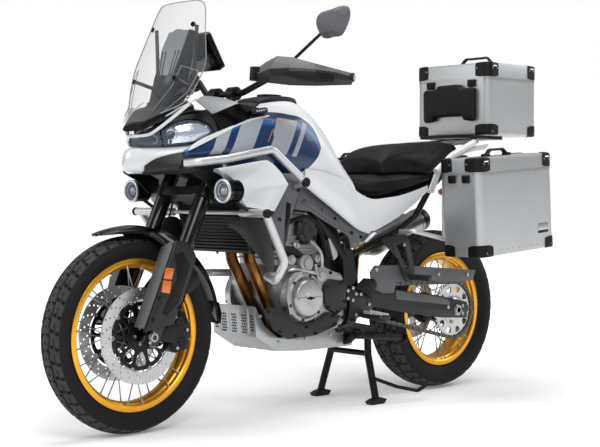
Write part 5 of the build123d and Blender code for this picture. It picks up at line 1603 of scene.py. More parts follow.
class MOTORCYCLE_OT_lamp_pods(Operator):
    """Sculpted pods round the fog lamps, and the lamps themselves"""
    bl_idname = "motorcycle.lamp_pods"
    bl_label = "Lamp pods"

    def execute(self, context):
        pods = []
        for side in (1, -1):
            outline = [(172, 879), (236, 887), (372, 908), (408, 905), (456, 872), (494, 829),
                       (458, 778), (428, 736), (360, 744), (300, 752), (278, 776), (270, 806),
                       (248, 838), (214, 861)]
            rim = flowing_line([at(side * 246, d, h) for d, h in outline], 4, corners=(0, 5, 7, 9),
                closed=True)
            centre = at(side * 246, 352, 822)
            scoop = at(side * 246, 296, 800)
            # the shell's side, its rim, and a face that sinks into a scoop round the lamp
            rows = []
            for place, scale in ((196, 0.86), (214, 0.93), (232, 0.985), (244, 1.0), (248, 0.985),
                                 (246, 0.93), (236, 0.78), (216, 0.58), (206, 0.36)):
                share = 1 - scale if place > 232 or scale < 0.8 else 0
                middle = centre + (scoop - centre) * share
                rows.append([
                    Vector((side * place * MM, middle.y + (p.y - centre.y) * scale,
                            middle.z + (p.z - centre.z) * scale)) for p in rim
                ])
            pods.append(skin("lamp_pod_shells", rows))
        finish(joined("lamp_pod_shells", pods), "chassis", "pearl", ["radiator_shrouds"])
        bodies, rings, lenses, bowls = [], [], [], []
        for side in (1, -1):
            face = at(side * 250, 190, 805)
            bodies.append(turned("fog_lamp_bodies", face, BACK, [
                (21, 0.4), (20, 14), (14, 21), (8, 25), (5, 34), (4, 36), (8, 39), (22, 39),
                (24, 34), (60, 33), (72, 30), (76, 24), (76, 0.5)], segments=48))
            for k in range(5):
                bodies.append(turned("fog_lamp_bodies", face + BACK * (30 + k * 8) * MM, BACK, [
                    (0, 33), (0, 37), (3, 37), (3, 33)], segments=40))
            rings.append(turned("fog_lamp_rings", face, BACK, [
                (0, 33), (-1, 36), (0, 39), (3, 40), (6, 40), (6, 36), (4, 33), (0, 33)],
                segments=48))
            rings.append(turned("fog_lamp_rings", face, BACK, [
                (7, 25), (5.5, 26.5), (7, 28), (9, 27), (7, 25)], segments=40))
            bowls.append(turned("fog_lamp_bowls", face, BACK, [
                (19, 15), (10, 15), (8, 13.5), (10, 11), (15, 5), (15, 0.4)], segments=24))
            lenses.append(turned("fog_lamp_lenses", face, BACK, [
                (-1, 0.4), (-0.8, 12), (0.2, 24), (2, 33), (3, 33), (1, 24), (0.4, 12), (0.3, 0.4)],
                segments=40))
        finish(joined("fog_lamp_bodies", bodies), "chassis", "gloss_black", ["fog_lights"])
        finish(joined("fog_lamp_rings", rings), "chassis", "silver_paint")
        finish(joined("fog_lamp_bowls", bowls), "chassis", "machined")
        finish(joined("fog_lamp_lenses", lenses), "chassis", "lens")
        arms = []
        for side in (1, -1):
            arms.append(tube("fog_lamp_arms", on_side(
                side, (250, 244, 776), (252, 300, 742)), 13, bend=4))
            arms.append(plate("fog_lamp_arms", [
                (106, 868), (200, 872), (262, 846), (262, 800), (214, 796), (176, 836)],
                side * 178, side * 184, round_edge=2, segments=3))
        finish(joined("fog_lamp_arms", arms), "chassis", "black")
        return {"FINISHED"}


# shares of a bar's end run at which its controls and its grip begin, and the grip ends
CONTROLS_START, GRIP_START, GRIP_END = 0.25, 0.46, 0.97


class MOTORCYCLE_OT_bars(Operator):
    """Hand guards, bar ends, grips, switchgear, levers and mirrors"""
    bl_idname = "motorcycle.bars"
    bl_label = "Bars and controls"

    def execute(self, context):
        guards, tops, ends, shaded_pockets, discs, bosses = [], [], [], [], [], []
        # stations along a guard: left, behind, its bottom, crease and top edge, and how far
        # and which way the upper facet leans in
        stations = (
            (206, 378, 1180, 1196, 1228, 0.0, 1.0, 22), (236, 364, 1176, 1199, 1238, 0.0, 1.0, 32),
            (290, 366, 1167, 1212, 1257, -0.1, 1.0, 38),
            (350, 398, 1158, 1213, 1251, -0.45, 0.9, 36),
            (410, 462, 1156, 1208, 1230, -0.8, 0.6, 24),
            (440, 530, 1160, 1200, 1214, -0.95, 0.3, 14),
            (446, 600, 1165, 1191, 1203, -1.0, 0.0, 8),
        )
        for side in (1, -1):
            rows, upper = [], []
            for left, d, low, crease, top, inward, back, lean in stations:
                def spot(depth, height):
                    """Place a depth in from the station's outer line"""
                    return at(side * (left + inward * depth), d + back * depth, height)
                rows.append([
                    spot(20, low + 2), spot(3, low), spot(-2, (low + crease) / 2), spot(0, crease)])
                upper.append([spot(0, crease), spot(lean, top), spot(lean + 10, top - 4)])
            for name, lines, made in (
                ("hand_guard_shells", rows, guards), ("hand_guard_lit_tops", upper, tops),
            ):
                guard = walled(skin(name, lines, ring=False), 4.5)
                made.append(bevel(guard, 1.5, segments=2, angle=12))
            # a black panel where the pocket on the lower face lies in shade: painted shade
            rows = []
            for left, d, low, high in (
                (330, 384, 1197, 1201), (368, 414, 1178, 1203), (410, 460, 1170, 1200),
                (436, 520, 1170, 1194),
            ):
                rows.append([
                    at(side * (left + 4), d - 3, low),
                    at(side * (left + 5), d - 4, (low + high) / 2),
                    at(side * (left + 4), d - 3, high)])
            pocket_panel = flowing_skin("hand_guard_shaded_pockets", rows, along=5, across=4)
            shaded_pockets.append(walled(pocket_panel, 3))
            ends.append(turned(
                "bar_end_weights", grip_point(side, 1.01),
                grip_point(side, 1.1) - grip_point(side, 1.0),
                [(0, 11), (0, 14), (3, 15.5), (20, 16), (24, 14), (24, 9), (22, 8)], segments=28))
            discs.append(turned(
                "bar_end_discs", grip_point(side, 1.095),
                grip_point(side, 1.1) - grip_point(side, 1.0),
                [(0, 11), (3, 11), (4, 10), (4, 4), (2, 3)], segments=24))
            guards.append(plate("hand_guard_shells", [
                (352, 1178), (398, 1176), (404, 1206), (392, 1228), (356, 1226)],
                side * 200, side * 214, round_edge=4, segments=3))
            bosses.append((at(side * 212, 364, 1200), Vector((side, -0.6, 0))))
        finish(joined("hand_guard_shells", guards), "steering", "grey_plastic", ["handguards"],
               smooth=20)
        # the tops in a lighter grey than the shells: painted light on the faces that lean up to the
        # lamps
        finish(joined("hand_guard_lit_tops", tops), "steering", "mid_grey", smooth=20)
        # the pockets' panels in black: painted shade
        finish(joined("hand_guard_shaded_pockets", shaded_pockets), "steering", "black_plastic")
        finish(joined("bar_end_weights", ends), "steering", "black")
        finish(joined("bar_end_discs", discs), "steering", "steel")
        finish(bolts("hand_guard_screws", bosses, 9, 5, sides=20), "steering", "black")
        stays = []
        for side in (1, -1):
            stays.append(tube("hand_guard_stays", [
                grip_point(side, 0.08, back=-10), at(side * 214, 392, 1207),
                at(side * 232, 370, 1208)],
                11, bend=12))
        finish(joined("hand_guard_stays", stays), "steering", "black")
        # grips with ribs, then the controls inboard of them, along each end run of the bar
        grips, switches, levers = [], [], []
        for side in (1, -1):
            line = grip_point(side, GRIP_END) - grip_point(side, GRIP_START)
            length = line.length / MM
            profile = [(0, 12), (0, 19), (4, 19.5), (7, 18)]
            ribs = 22
            for k in range(ribs):
                start = 10 + (length - 20) * k / ribs
                step = (length - 20) / ribs
                profile += [(start, 15.8), (start + step * 0.3, 16.9), (start + step * 0.7, 16.9)]
            profile += [(length - 8, 16), (length - 6, 18.5), (length, 18.5), (length, 12)]
            grips.append(turned("grip_rubbers", grip_point(side, GRIP_START), line, profile,
                segments=32))
            line = grip_point(side, GRIP_START) - grip_point(side, CONTROLS_START)
            length = line.length / MM
            switches.append(turned("switch_housings", grip_point(side, CONTROLS_START), line, [
                (0, 12), (0, 18), (4, 22), (length * 0.3, 24), (length * 0.72, 24),
                (length - 4, 21), (length, 19), (length, 12)], segments=20))
            # perch, fluid reservoir and lever bracket
            switches.append(turned("switch_housings", grip_point(side, 0.16), line, [
                (0, 12), (0, 17), (12, 17), (12, 12)], segments=24))
            switches.append(turned(
                "switch_housings", grip_point(side, 0.20, back=-34, up=10), Vector((0, 0.2, 1)), [
                    (0, 12), (0, 20), (4, 22), (24, 22), (26, 24), (31, 24), (32, 22), (32, 1)],
                segments=32))
            switches.append(tube("switch_housings", [
                grip_point(side, 0.18, back=-8, up=2), grip_point(side, 0.30, back=-38, up=4),
                grip_point(side, 0.48, back=-58, up=0)], 17, bend=12))
            levers.append(tube("hand_levers", [
                grip_point(side, 0.44, back=-56, up=-1), grip_point(side, 0.56, back=-68, up=-3),
                grip_point(side, 0.74, back=-72, up=-4), grip_point(side, 0.93, back=-64, up=-6)],
                11, flowing=True))
        finish(joined("grip_rubbers", grips), "steering", "rubber", ["hand_controls"])
        finish(joined("switch_housings", switches), "steering", "black_plastic")
        finish(joined("hand_levers", levers), "steering", "black")
        # mirrors: an egg-shaped shell that is deepest in the middle, its glass and its stem
        shells, glasses, stems = [], [], []
        for side in (1, -1):
            outline = [
                (-70, -5), (-60, 36), (0, 47), (62, 52), (76, 15), (42, -40), (0, -46), (-42, -46)]
            ring = flowing_line(
                [at(side * (395 + a), 549, 1372 + b) for a, b in outline], 5, corners=(),
                closed=True)
            centre = at(side * 395, 549, 1372)
            rows = []
            for depth, scale in ((-6, 0.96), (-8, 1.0), (2, 1.0), (6, 0.98), (27, 0.72), (30, 0.66),
                                 (33, 0.3)):
                rows.append([
                    centre + (p - centre) * scale - BACK * (depth - 8) * MM for p in ring])
            shells.append(skin("mirror_shells", rows))
            face = [centre + (p - centre) * 0.93 + BACK * 14.6 * MM for p in ring]
            back = [centre + (p - centre) * 0.93 + BACK * 12 * MM for p in ring]
            glasses.append(skin("mirror_glasses", [face, back]))
            stems.append(tube("mirror_stems", [
                grip_point(side, 0.20, back=-6, up=22), grip_point(side, 0.24, back=-2, up=48),
                at(side * 352, 552, 1345)], 11, bend=14))
            stems.append(turned("mirror_stems", grip_point(side, 0.20, back=-6, up=20), UP, [
                (-8, 9), (-8, 14), (8, 14), (12, 10), (12, 6)], segments=20))
        finish(joined("mirror_shells", shells), "steering", "mid_grey", ["mirrors"], smooth=16)
        finish(joined("mirror_glasses", glasses), "steering", "mirror")
        finish(joined("mirror_stems", stems), "steering", "black")
        return {"FINISHED"}


def grip_point(side, share, back=0, up=0):
    """Point by an end run of the handlebar, from 0 at its last bend to 1 at its end"""
    return at(
        side * lerp(205, 425, share), 415 + lerp(52, 180, share) + back,
        1145 + lerp(58, 45, share) + up,
    )


class MOTORCYCLE_OT_engine(Operator):
    """Bolted engine covers, cylinder fins and castings, clutch side and lower guard"""
    bl_idname = "motorcycle.engine"
    bl_label = "Engine"

    def execute(self, context):
        block = rounded_copy("engine_castings", "engine", 5.0, segments=3)
        finish(block, "chassis", "cast", ["engine"])
        # left: a drum with the alternator's cover on it; right: the clutch's stepped cover
        left_hub, right_hub = at(132, 648, 425), at(-132, 648, 425)
        drums = [
            turned("casing_drums", left_hub, LEFT, [
                (0, 88), (30, 88), (38, 86), (42, 82), (43, 76), (40, 73), (34, 72), (34, 60)],
                segments=72),
            plate("casing_drums", [
                (570, 498), (600, 516), (640, 520), (604, 470), (598, 420), (612, 372),
                (572, 368), (556, 430)], 150, 172, round_edge=5, segments=3),
        ]
        parts = [
            turned("alternator_cover", left_hub, LEFT, [
                (34, 69), (44, 69), (54, 67), (60, 62), (62, 54), (62, 22), (65, 20), (65, 1)],
                segments=72),
            plate("alternator_cover", [
                (588, 430), (708, 430), (708, 420), (588, 420)], 190, 197, round_edge=2,
                segments=2),
            turned("alternator_cover", right_hub, -LEFT, [
                (0, 96), (18, 96), (34, 92), (40, 84), (42, 60), (44, 58), (44, 20), (42, 1)],
                segments=72),
        ]
        heads = [(at(197, 648, 425), LEFT)]
        for hub, out, left, reach in ((left_hub, LEFT, 40, 80), (right_hub, -LEFT, -28, 90)):
            heads += [(spot, out) for spot in places_round(hub, left, reach, 6, turn=BOLT_TURN)]
        finish(joined("alternator_cover", parts), "chassis", "machined")
        finish(joined("casing_drums", drums), "chassis", "cast")
        # round head covers with bosses and bolts
        dark = []
        for side in (1, -1):
            hub = at(side * 118, 690, 666)
            dark.append(turned("casing_covers", hub, LEFT * side, [
                (0, 52), (10, 52), (18, 50), (22, 46), (22, 30), (26, 28), (26, 10), (24, 9),
                (24, 1)], segments=48))
            for spot in places_round(hub, side * 18, 45, 6, turn=BOLT_TURN):
                dark.append(turned("casing_covers", spot, LEFT * side, [
                    (-14, 9), (2, 9), (4, 7), (4, 1)], segments=16))
                heads.append((spot + LEFT * side * 0.004, LEFT * side))
        sprocket_outline = [
            (751, 468), (784, 486), (830, 479), (866, 462), (862, 426), (866, 378), (817, 353),
            (765, 375), (748, 420)]
        lower_outline = [
            (450, 396), (560, 400), (585, 345), (650, 330), (720, 345), (772, 366), (832, 350),
            (805, 312), (705, 286), (566, 282), (500, 320), (472, 362)]
        case_outline = [
            (716, 545), (790, 520), (850, 500), (862, 480), (862, 330), (850, 312), (716, 312)]
        dark.append(plate("casing_covers", sprocket_outline, 132.5, 164, round_edge=6, segments=4))
        dark.append(plate("casing_covers", lower_outline, 156, 167, round_edge=4, segments=3))
        finish(joined("casing_covers", dark), "chassis", "grey_cast", ["engine_covers"])
        light = [plate("side_castings", case_outline, 132.5, 152, round_edge=8, segments=4)]
        light.append(plate("side_castings", case_outline, -152, -132.5, round_edge=8, segments=4))
        # split slab, pump body and breather on the left
        light.append(plate("side_castings", [
            (797, 634), (830, 642), (850, 566), (827, 548)], 112, 136, round_edge=5, segments=3))
        for d, h, radius, out_to in ((676, 545, 34, 150), (742, 560, 20, 144), (612, 560, 22, 140),
                                     (640, 610, 16, 136), (742, 500, 26, 158)):
            light.append(turned("side_castings", at(110, d, h), LEFT, [
                (0, radius), (out_to - 118, radius), (out_to - 112, radius - 4),
                (out_to - 110, radius * 0.5), (out_to - 106, radius * 0.5), (out_to - 106, 1)],
                segments=36))
            heads.append((at(out_to - 3, d, h), LEFT))
        # cooling ribs round the cylinder
        for k in range(6):
            h = 560 + k * 16
            light.append(plate("side_castings", [
                (574, h), (756 - k * 6, h), (756 - k * 6, h + 5), (574, h + 5)], -127, 127,
                round_edge=1.5, segments=1))
        finish(joined("side_castings", light), "chassis", "cast")
        box = plate("battery_box", [
            (800, 520), (925, 500), (900, 600), (868, 700), (800, 700)], -100, 100, round_edge=5,
            segments=3)
        finish(box, "chassis", "black_plastic")
        for left, spots in (
            (167, ((470, 385), (548, 390), (524, 312), (600, 292), (700, 294), (800, 322),
                   (790, 352), (655, 320))),
            (163, ((760, 460), (830, 470), (854, 400), (815, 366), (768, 384))),
        ):
            heads += [(at(left, d, h), LEFT) for d, h in spots]
        for d, h in ((730, 534), (790, 508), (852, 474), (852, 340), (735, 322)):
            heads.append((at(152, d, h), LEFT))
            heads.append((at(-152, d, h), -LEFT))
        finish(bolts("engine_bolts", heads, 6, 5, sides=10), "chassis", "black")
        pipes = [
            tube("coolant_hoses", [
                at(120, 430, 640), at(134, 480, 640), at(140, 560, 600), at(132, 640, 590),
                at(128, 676, 560)], 26, flowing=True),
            tube("coolant_hoses", [
                at(-120, 430, 660), at(-134, 500, 660), at(-136, 570, 640), at(-122, 610, 650)],
                26, flowing=True),
            tube("coolant_hoses", [
                at(126, 600, 690), at(134, 660, 716), at(138, 730, 700), at(136, 770, 640),
                at(132, 790, 560)], 16, flowing=True),
        ]
        finish(joined("coolant_hoses", pipes), "chassis", "black_plastic")
        rails = [
            tube("silver_pipes", [
                at(140, 740, 500), at(150, 756, 540), at(150, 740, 600), at(134, 700, 628)],
                12, flowing=True),
            tube("silver_pipes", [
                at(134, 596, 520), at(150, 610, 530), at(158, 650, 518), at(158, 700, 512),
                at(150, 740, 504)], 14, flowing=True),
        ]
        finish(joined("silver_pipes", rails), "chassis", "machined")
        return {"FINISHED"}


class MOTORCYCLE_OT_underside(Operator):
    """Ribbed skid plate, radiator core with tanks, exhaust fittings"""
    bl_idname = "motorcycle.underside"
    bl_label = "Skid plate and radiator"

    def execute(self, context):
        shell = rounded_copy("skid_plate_sheet", "skid_plate", 1.5)
        finish(shell, "chassis", "sheet", ["skid_plate"])
        ribs = []
        for left in (-78, -28, 28, 78):
            ribs.append(tube("skid_plate_ribs", [
                at(left, 456, 392), at(left, 461, 302), at(left, 556, 240), at(left, 700, 229)],
                10, bend=20, sides=10))
        finish(joined("skid_plate_ribs", ribs), "chassis", "sheet")
        # groups of slots between the ribs, on the plate's front, which leans back as it goes down;
        # each slot is a black plate, painted shade where the opening is
        holes = []
        for middle, columns, rows in ((-96, 2, 6), (-54, 3, 7), (0, 3, 7), (54, 3, 7), (96, 2, 6)):
            for row in range(rows):
                for column in range(columns):
                    left = middle + (column - (columns - 1) / 2) * 9 + (row % 2) * 3
                    height = 370 - row * 10
                    back = 451.2 + (402 - height) * 0.074
                    holes.append(plate("skid_plate_shaded_slots", [
                        (back, height), (back + 3, height), (back + 3, height - 6),
                        (back + 0.4, height - 6)], left - 3, left + 3, round_edge=0))
        finish(joined("skid_plate_shaded_slots", holes), "chassis", "black")
        screws = []
        for side in (1, -1):
            for d, h in ((480, 366), (566, 268), (700, 272), (826, 276), (920, 240)):
                if side > 0 or h < 260 or d < 600:
                    screws.append((at(side * 116, d, h), LEFT * side))
        finish(bolts("skid_plate_bolts", screws, 6, 5), "chassis", "steel")
        headers = []
        for left in (48, -48):
            headers.append(tube("exhaust_pipes", [
                at(left, 576, 612), at(left, 480, 606), at(left, 488, 560),
                at(left * 0.9, 584, 385), at(left * 0.7, 626, 285), at(left * 0.6, 690, 272),
                at(left * 0.6, 800, 272)], 42, bend=34))
            headers.append(turned("exhaust_pipes", at(left, 572, 612), -BACK, [
                (0, 20), (0, 31), (8, 31), (10, 28), (10, 20)], segments=32))
        headers.append(tube("exhaust_pipes", [
            at(-40, 780, 272), at(-158, 866, 272), at(-166, 1000, 285), at(-184, 1120, 315),
            at(-192, 1262, 430), at(-192, 1274, 552), at(-192, 1340, 574)], 42, bend=40))
        finish(joined("exhaust_pipes", headers), "chassis", "hot_steel")
        rear = at(-196, 1700, 690) - at(-192, 1332, 571)
        length = rear.length / MM
        can = turned("muffler", at(-192, 1332, 571), rear, [
            (0, 22), (0, 30), (40, 48), (58, 51), (62, 52), (66, 52), (68, 50.5),
            (length - 60, 50.5), (length - 58, 52), (length - 46, 52)], segments=64)
        finish(can, "chassis", "spoke", ["exhaust"])
        tip = turned("muffler_end", at(-192, 1332, 571) + rear * ((length - 48) / length), rear, [
            (0, 51), (6, 52), (36, 50), (46, 44), (46, 24), (52, 20), (52, 17), (30, 16), (30, 1)],
            segments=64)
        box = plate("muffler_end", [
            (722, 250), (722, 294), (898, 294), (898, 250)], -58, 58, round_edge=8, segments=4)
        finish(joined("muffler_end", [tip, box]), "chassis", "black")
        core = rounded_copy("radiator_core_block", "radiator", 1.5)
        finish(core, "chassis", "core", ["radiator"])
        tanks = []
        for side in (1, -1):
            tanks.append(plate("radiator_tanks", [
                (392, 586), (432, 598), (372, 776), (334, 764)], side * 160, side * 178,
                round_edge=4, segments=3))
        for k in range(14):
            share = (k + 0.5) / 14
            d, h = lerp(396, 337, share), lerp(594, 757, share)
            tanks.append(tube("radiator_tanks", [at(-158, d, h), at(158, d, h)], 4, bend=4,
                sides=6))
        finish(joined("radiator_tanks", tanks), "chassis", "black")
        return {"FINISHED"}


class MOTORCYCLE_OT_seats(Operator):
    """Two-piece seat and backrest pad, swelled by simulation, with sewn seams"""
    bl_idname = "motorcycle.seats"
    bl_label = "Seats"

    def execute(self, context):
        rider = closed_body("rider_seat_pad", [
            (932, [(62, 824), (80, 830), (78, 850), (46, 862), (0, 864)]),
            (1000, [(98, 800), (118, 808), (114, 836), (74, 858), (0, 860)]),
            (1080, [(116, 796), (142, 804), (138, 842), (90, 860), (0, 862)]),
            (1200, [(122, 812), (150, 820), (144, 856), (104, 870), (0, 872)]),
            (1386, [(108, 848), (126, 855), (122, 866), (96, 871), (0, 872)]),
        ], along=6, across=5, corners=(1,))
        swell(rider, 7)
        finish(rider, "chassis", "vinyl", ["rider_seat"], smooth=60)
        passenger = closed_body("passenger_seat_pad", [
            (1098, [(98, 868), (120, 874), (112, 912), (74, 924), (0, 928)]),
            (1160, [(104, 868), (130, 875), (120, 944), (84, 963), (0, 969)]),
            (1260, [(106, 869), (134, 876), (121, 956), (84, 980), (0, 984)]),
            (1392, [(104, 874), (132, 882), (119, 966), (82, 990), (0, 994)]),
            (1440, [(100, 906), (126, 914), (116, 970), (80, 994), (0, 998)]),
            (1582, [(82, 970), (96, 976), (90, 988), (66, 998), (0, 1001)]),
        ], along=6, across=5, corners=(1,))
        swell(passenger, 7)
        finish(passenger, "chassis", "vinyl", ["passenger_seat"], smooth=60)
        seams = []
        for side in (1, -1):
            seams.append(tube("seat_seams", on_side(
                side, (118, 1112, 922), (126, 1180, 950), (127, 1270, 961), (125, 1390, 972),
                (121, 1450, 980), (98, 1570, 994)),
                3.2, flowing=True, sides=8))
            seams.append(tube("seat_seams", on_side(
                side, (86, 950, 852), (121, 1010, 838), (141, 1090, 840), (146, 1200, 852),
                (127, 1380, 868)), 3.2, flowing=True, sides=8))
        finish(joined("seat_seams", seams), "chassis", "rubber")
        pad = pad_block("backrest_pad", 1627, 1653, -142, 142, 1092, 1244)
        swell(pad, 6)
        finish(pad, "chassis", "vinyl", ["backrest"], smooth=60)
        return {"FINISHED"}


def pad_block(name, back_from, back_to, left, right, low, high):
    """Upright pad with a stepped top"""
    outline = [
        (left, low + 8), (left + 8, low), (left + 56, low), (left + 66, low + 16),
        (right - 66, low + 16), (right - 56, low), (right - 8, low), (right, low + 8),
        (right, high - 22), (right - 12, high - 10), (right - 70, high - 8), (right - 84, high + 8),
        (left + 84, high + 8), (left + 70, high - 8), (left + 12, high - 10), (left, high - 22)]
    rows = []
    for back, scale in ((back_from + 1, 0.93), (back_from + 6, 1.0), (back_to, 1.0)):
        rows.append([
            at((left + right) / 2 + (a - (left + right) / 2) * scale, back,
               (low + high) / 2 + (b - (low + high) / 2) * scale) for a, b in outline])
    return outward(skin(name, rows))


SWELLING_FRAMES = 20


def swell(piece, cap):
    """Rounds a pad as its foam would, by cloth under pressure; cap is the most it swells, in mm"""
    outward(piece)
    shape_with(piece, "REMESH", mode="VOXEL", voxel_size=0.0055)
    rest = [vertex.co.copy() for vertex in piece.data.vertices]
    cloth = piece.modifiers.new("Swelling", "CLOTH")
    cloth.settings.use_pressure = True
    cloth.settings.uniform_pressure_force = 4.0
    cloth.settings.quality = 4
    cloth.settings.tension_stiffness = 25
    cloth.settings.compression_stiffness = 25
    cloth.settings.bending_stiffness = 2.0
    cloth.settings.effector_weights.gravity = 0.0
    cloth.collision_settings.use_collision = False
    cloth.point_cache.frame_start = 1
    cloth.point_cache.frame_end = SWELLING_FRAMES
    scene = bpy.context.scene
    for step in range(1, SWELLING_FRAMES + 1):
        scene.frame_set(step)
    select_only(piece)
    bpy.ops.object.modifier_apply(modifier=cloth.name)
    scene.frame_set(1)
    for vertex, start in zip(piece.data.vertices, rest):
        move = vertex.co - start
        reach = cap * MM
        if move.length > 0:
            vertex.co = start + move.normalized() * reach * (1 - exp(-move.length / reach))
    shape_with(piece, "SMOOTH", factor=0.5, iterations=6)
    return subdivide(piece, levels=1)


CASE_WALL, CASE_CORNER = 2.5, 30
# the lid stands this far off the body, and the corner guards this far out from the sides
LID_GAP, GUARD_PROUD = 0.4, 1.8


class Case:
    """An aluminium case; place turns (out, along, up) from the middle of its floor into a point

    Its node is named as it is, and its lid's node and body after it.
    """

    def __init__(self, name, place, length, width, body_height, lid_height):
        self.name = name
        self.place = place
        self.length = length
        self.width = width
        self.body_height = body_height
        self.seam = body_height + LID_GAP
        self.top = body_height + lid_height
        self.bodies = ("chassis", name + "_lid")

    def loops(self, levels):
        """Loops round the case: each level is (height, inset)"""
        return case_loops(self.place, self.length, self.width, CASE_CORNER, levels)

    def build(self, handle, hinges, latches):
        """Makes every piece; handle is its span, its rise and whether it lies along the case"""
        self.shells()
        self.corners_and_rivets()
        self.handle(*handle)
        self.clasps(hinges, latches)

    def shells(self):
        """Body and lid of folded sheet, and a strip on either side of the seam"""
        wall, seam, top = CASE_WALL, self.seam, self.top
        body = self.loops([
            (0, 8), (1, 3.5), (3.5, 1), (8, 0), (self.body_height, 0), (self.body_height, wall),
            (wall + 6, wall), (wall, wall + 5)])
        finish(skin(self.name + "_shell", body), self.bodies[0], "sheet", [self.name])
        lid = self.loops([
            (top - wall, wall + 6), (top - wall - 5, wall), (seam, wall), (seam, 0), (top - 9, 0),
            (top - 3.5, 1.2), (top - 1, 4), (top, 9)])
        finish(skin(self.name + "_lid_shell", lid), self.bodies[1], "sheet", [self.name + "_lid"])
        for label, body, low, high, proud in (
            ("_seam_strip", self.bodies[0], self.body_height - 7, self.body_height - 1.8, 1.2),
            ("_lid_strip", self.bodies[1], seam + 0.2, seam + 5, 1.4),
        ):
            band = self.loops([(low, 0.2), (low, -proud), (high, -proud), (high, 0.2)])
            band.append(band[0])
            finish(skin(self.name + label, band, caps=False), body, "machined")

    def corners_and_rivets(self):
        """Corner guards of body and lid, strap eyes on the lid, and rivets"""
        half_length, half_width = self.length / 2, self.width / 2
        # rows of a guard: height, how far it stands in from the case's side, length of its wings
        guard_rows = (
            ((0.4, 16, 20), (0, 6, 30), (5, -GUARD_PROUD, 34), (38, -GUARD_PROUD, 34),
             (44, -GUARD_PROUD, 12)),
            ((self.seam + 6, -GUARD_PROUD, 12), (self.seam + 10, -GUARD_PROUD, 34),
             (self.top - 8, -GUARD_PROUD, 34), (self.top - 1, 3, 30), (self.top + 1.6, 14, 20)),
        )
        # each guard has three rivets: one on the end and two on the side
        rivet_heights = (15, self.top - 22)
        guards, rivets, eyes = ([], []), ([], []), []
        for turn_out, turn_along in ((1, 1), (-1, 1), (-1, -1), (1, -1)):

            def corner(out, along, height, turn_out=turn_out, turn_along=turn_along):
                return self.place(turn_out * out, turn_along * along, height)

            for which in (0, 1):
                rows = [
                    guard_row(corner, half_width - inset, half_length - inset,
                              max(CASE_CORNER - inset, 3), wing, height)
                    for height, inset, wing in guard_rows[which]
                ]
                guard = flowing_skin(self.name + "_corner_guards", rows, along=3, across=1,
                    row_corners=(3, 1))
                guards[which].append(walled(guard, 2.4))
                out_face, end_face = half_width + GUARD_PROUD + 1, half_length + GUARD_PROUD + 1
                for out, along, facing in (
                    (half_width - CASE_CORNER - 26, end_face, (0, 1)),
                    (out_face, half_length - CASE_CORNER - 26, (1, 0)),
                    (out_face, half_length - CASE_CORNER + 2, (1, 0)),
                ):
                    spot = corner(out, along, rivet_heights[which])
                    away = corner(
                        out + facing[0], along + facing[1], rivet_heights[which]) - spot
                    rivets[which].append((spot - away.normalized() * MM, away))
            eyes.append(tube(self.name + "_strap_eyes", [
                corner(half_width + 3, half_length - CASE_CORNER - reach, self.top - 14)
                for reach in (-2, 22)], 5, bend=4, sides=8))
        finish(joined(self.name + "_strap_eyes", eyes), self.bodies[1], "steel")
        # rows of rivets near the seam and the floor, on the sides and then on the ends
        for height in (18, self.body_height - 16):
            for k in range(1, 8):
                along = (k / 8 - 0.5) * (self.length - 150)
                for side in (1, -1):
                    spot = self.place(side * (half_width - 0.5), along, height)
                    away = self.place(side * (half_width + 1), along, height) - spot
                    rivets[0].append((spot, away))
            for k in range(1, 4):
                out = (k / 4 - 0.5) * (self.width - 110)
                for side in (1, -1):
                    spot = self.place(out, side * (half_length - 0.5), height)
                    away = self.place(out, side * (half_length + 1), height) - spot
                    rivets[0].append((spot, away))
        for which, label in ((0, self.name), (1, self.name + "_lid")):
            body = self.bodies[which]
            finish(joined(label + "_corner_guards", guards[which]), body, "black_plastic")
            finish(bolts(label + "_rivets", rivets[which], 3.2, 1.6, sides=10), body, "steel")

    def handle(self, span, rise, lengthwise):
        """Strap handle on the lid, flat at its ends and arched between them"""

        def strap_place(across, run, up):
            return self.place(*((across, run) if lengthwise else (run, across)), self.top + up)

        thick = 7
        rows = []
        for share in [k / 10 for k in range(11)]:
            lift = rise * min(1, sin(pi * share) * 1.7) if 0 < share < 1 else 0
            rows.append([
                strap_place(across, (share - 0.5) * span, lift + up) for across, up in (
                    (-11, 0), (-10, thick - 2), (-5, thick), (5, thick), (10, thick - 2), (11, 0),
                    (5, -2), (-5, -2))])
        parts = [flowing_skin(self.name + "_handle", rows, along=2, across=2, ring=True)]
        for run in (span / 2, -span / 2):
            block = case_loops(
                lambda across, along, up, run=run: strap_place(across, along + run, up),
                28, 30, 6, [(-0.5, 0), (6, 0), (9, 1), (11, 4)])
            parts.append(skin(self.name + "_handle", block))
        finish(joined(self.name + "_handle", parts), self.bodies[1], "black_plastic")

    def clasps(self, hinges, latches):
        """Hinge clasps below the seam in front; at the back, latches in two halves

        Each mount turns (across, out, height) of a clasp into a place on the case.
        """
        for which, kind, mounts, low, high in (
            (0, "_hinges", hinges, self.body_height - 34, self.body_height - 4),
            (0, "_latches", latches, self.body_height - 44, self.body_height - 1),
            (1, "_lid_latches", latches, self.seam + 1, self.seam + 36),
        ):
            made = []
            for mount in mounts:
                rows = []
                for out, inset in ((0.5, 0), (7, 0), (10, 1.5), (12, 5)):
                    rows.append([
                        self.place(*mount(across * (20 - inset), out, height))
                        for across, height in (
                            (-1, low + inset), (1, low + inset), (1, high - inset),
                            (-1, high - inset))])
                made.append(bevel(outward(skin(self.name + kind, rows)), 2.5, segments=2))
                # three raised ribs across its lower half
                for rib in (low + 6, low + 12, low + 18):
                    rows = []
                    for out, inset in ((11, 0), (14, 0), (14.6, 0.8)):
                        rows.append([
                            self.place(*mount(across * (12 - inset), out, height))
                            for across, height in ((-1, rib), (1, rib), (1, rib + 3), (-1, rib + 3))
                        ])
                    made.append(outward(skin(self.name + kind, rows)))
            finish(joined(self.name + kind, made), self.bodies[which], "black_plastic")


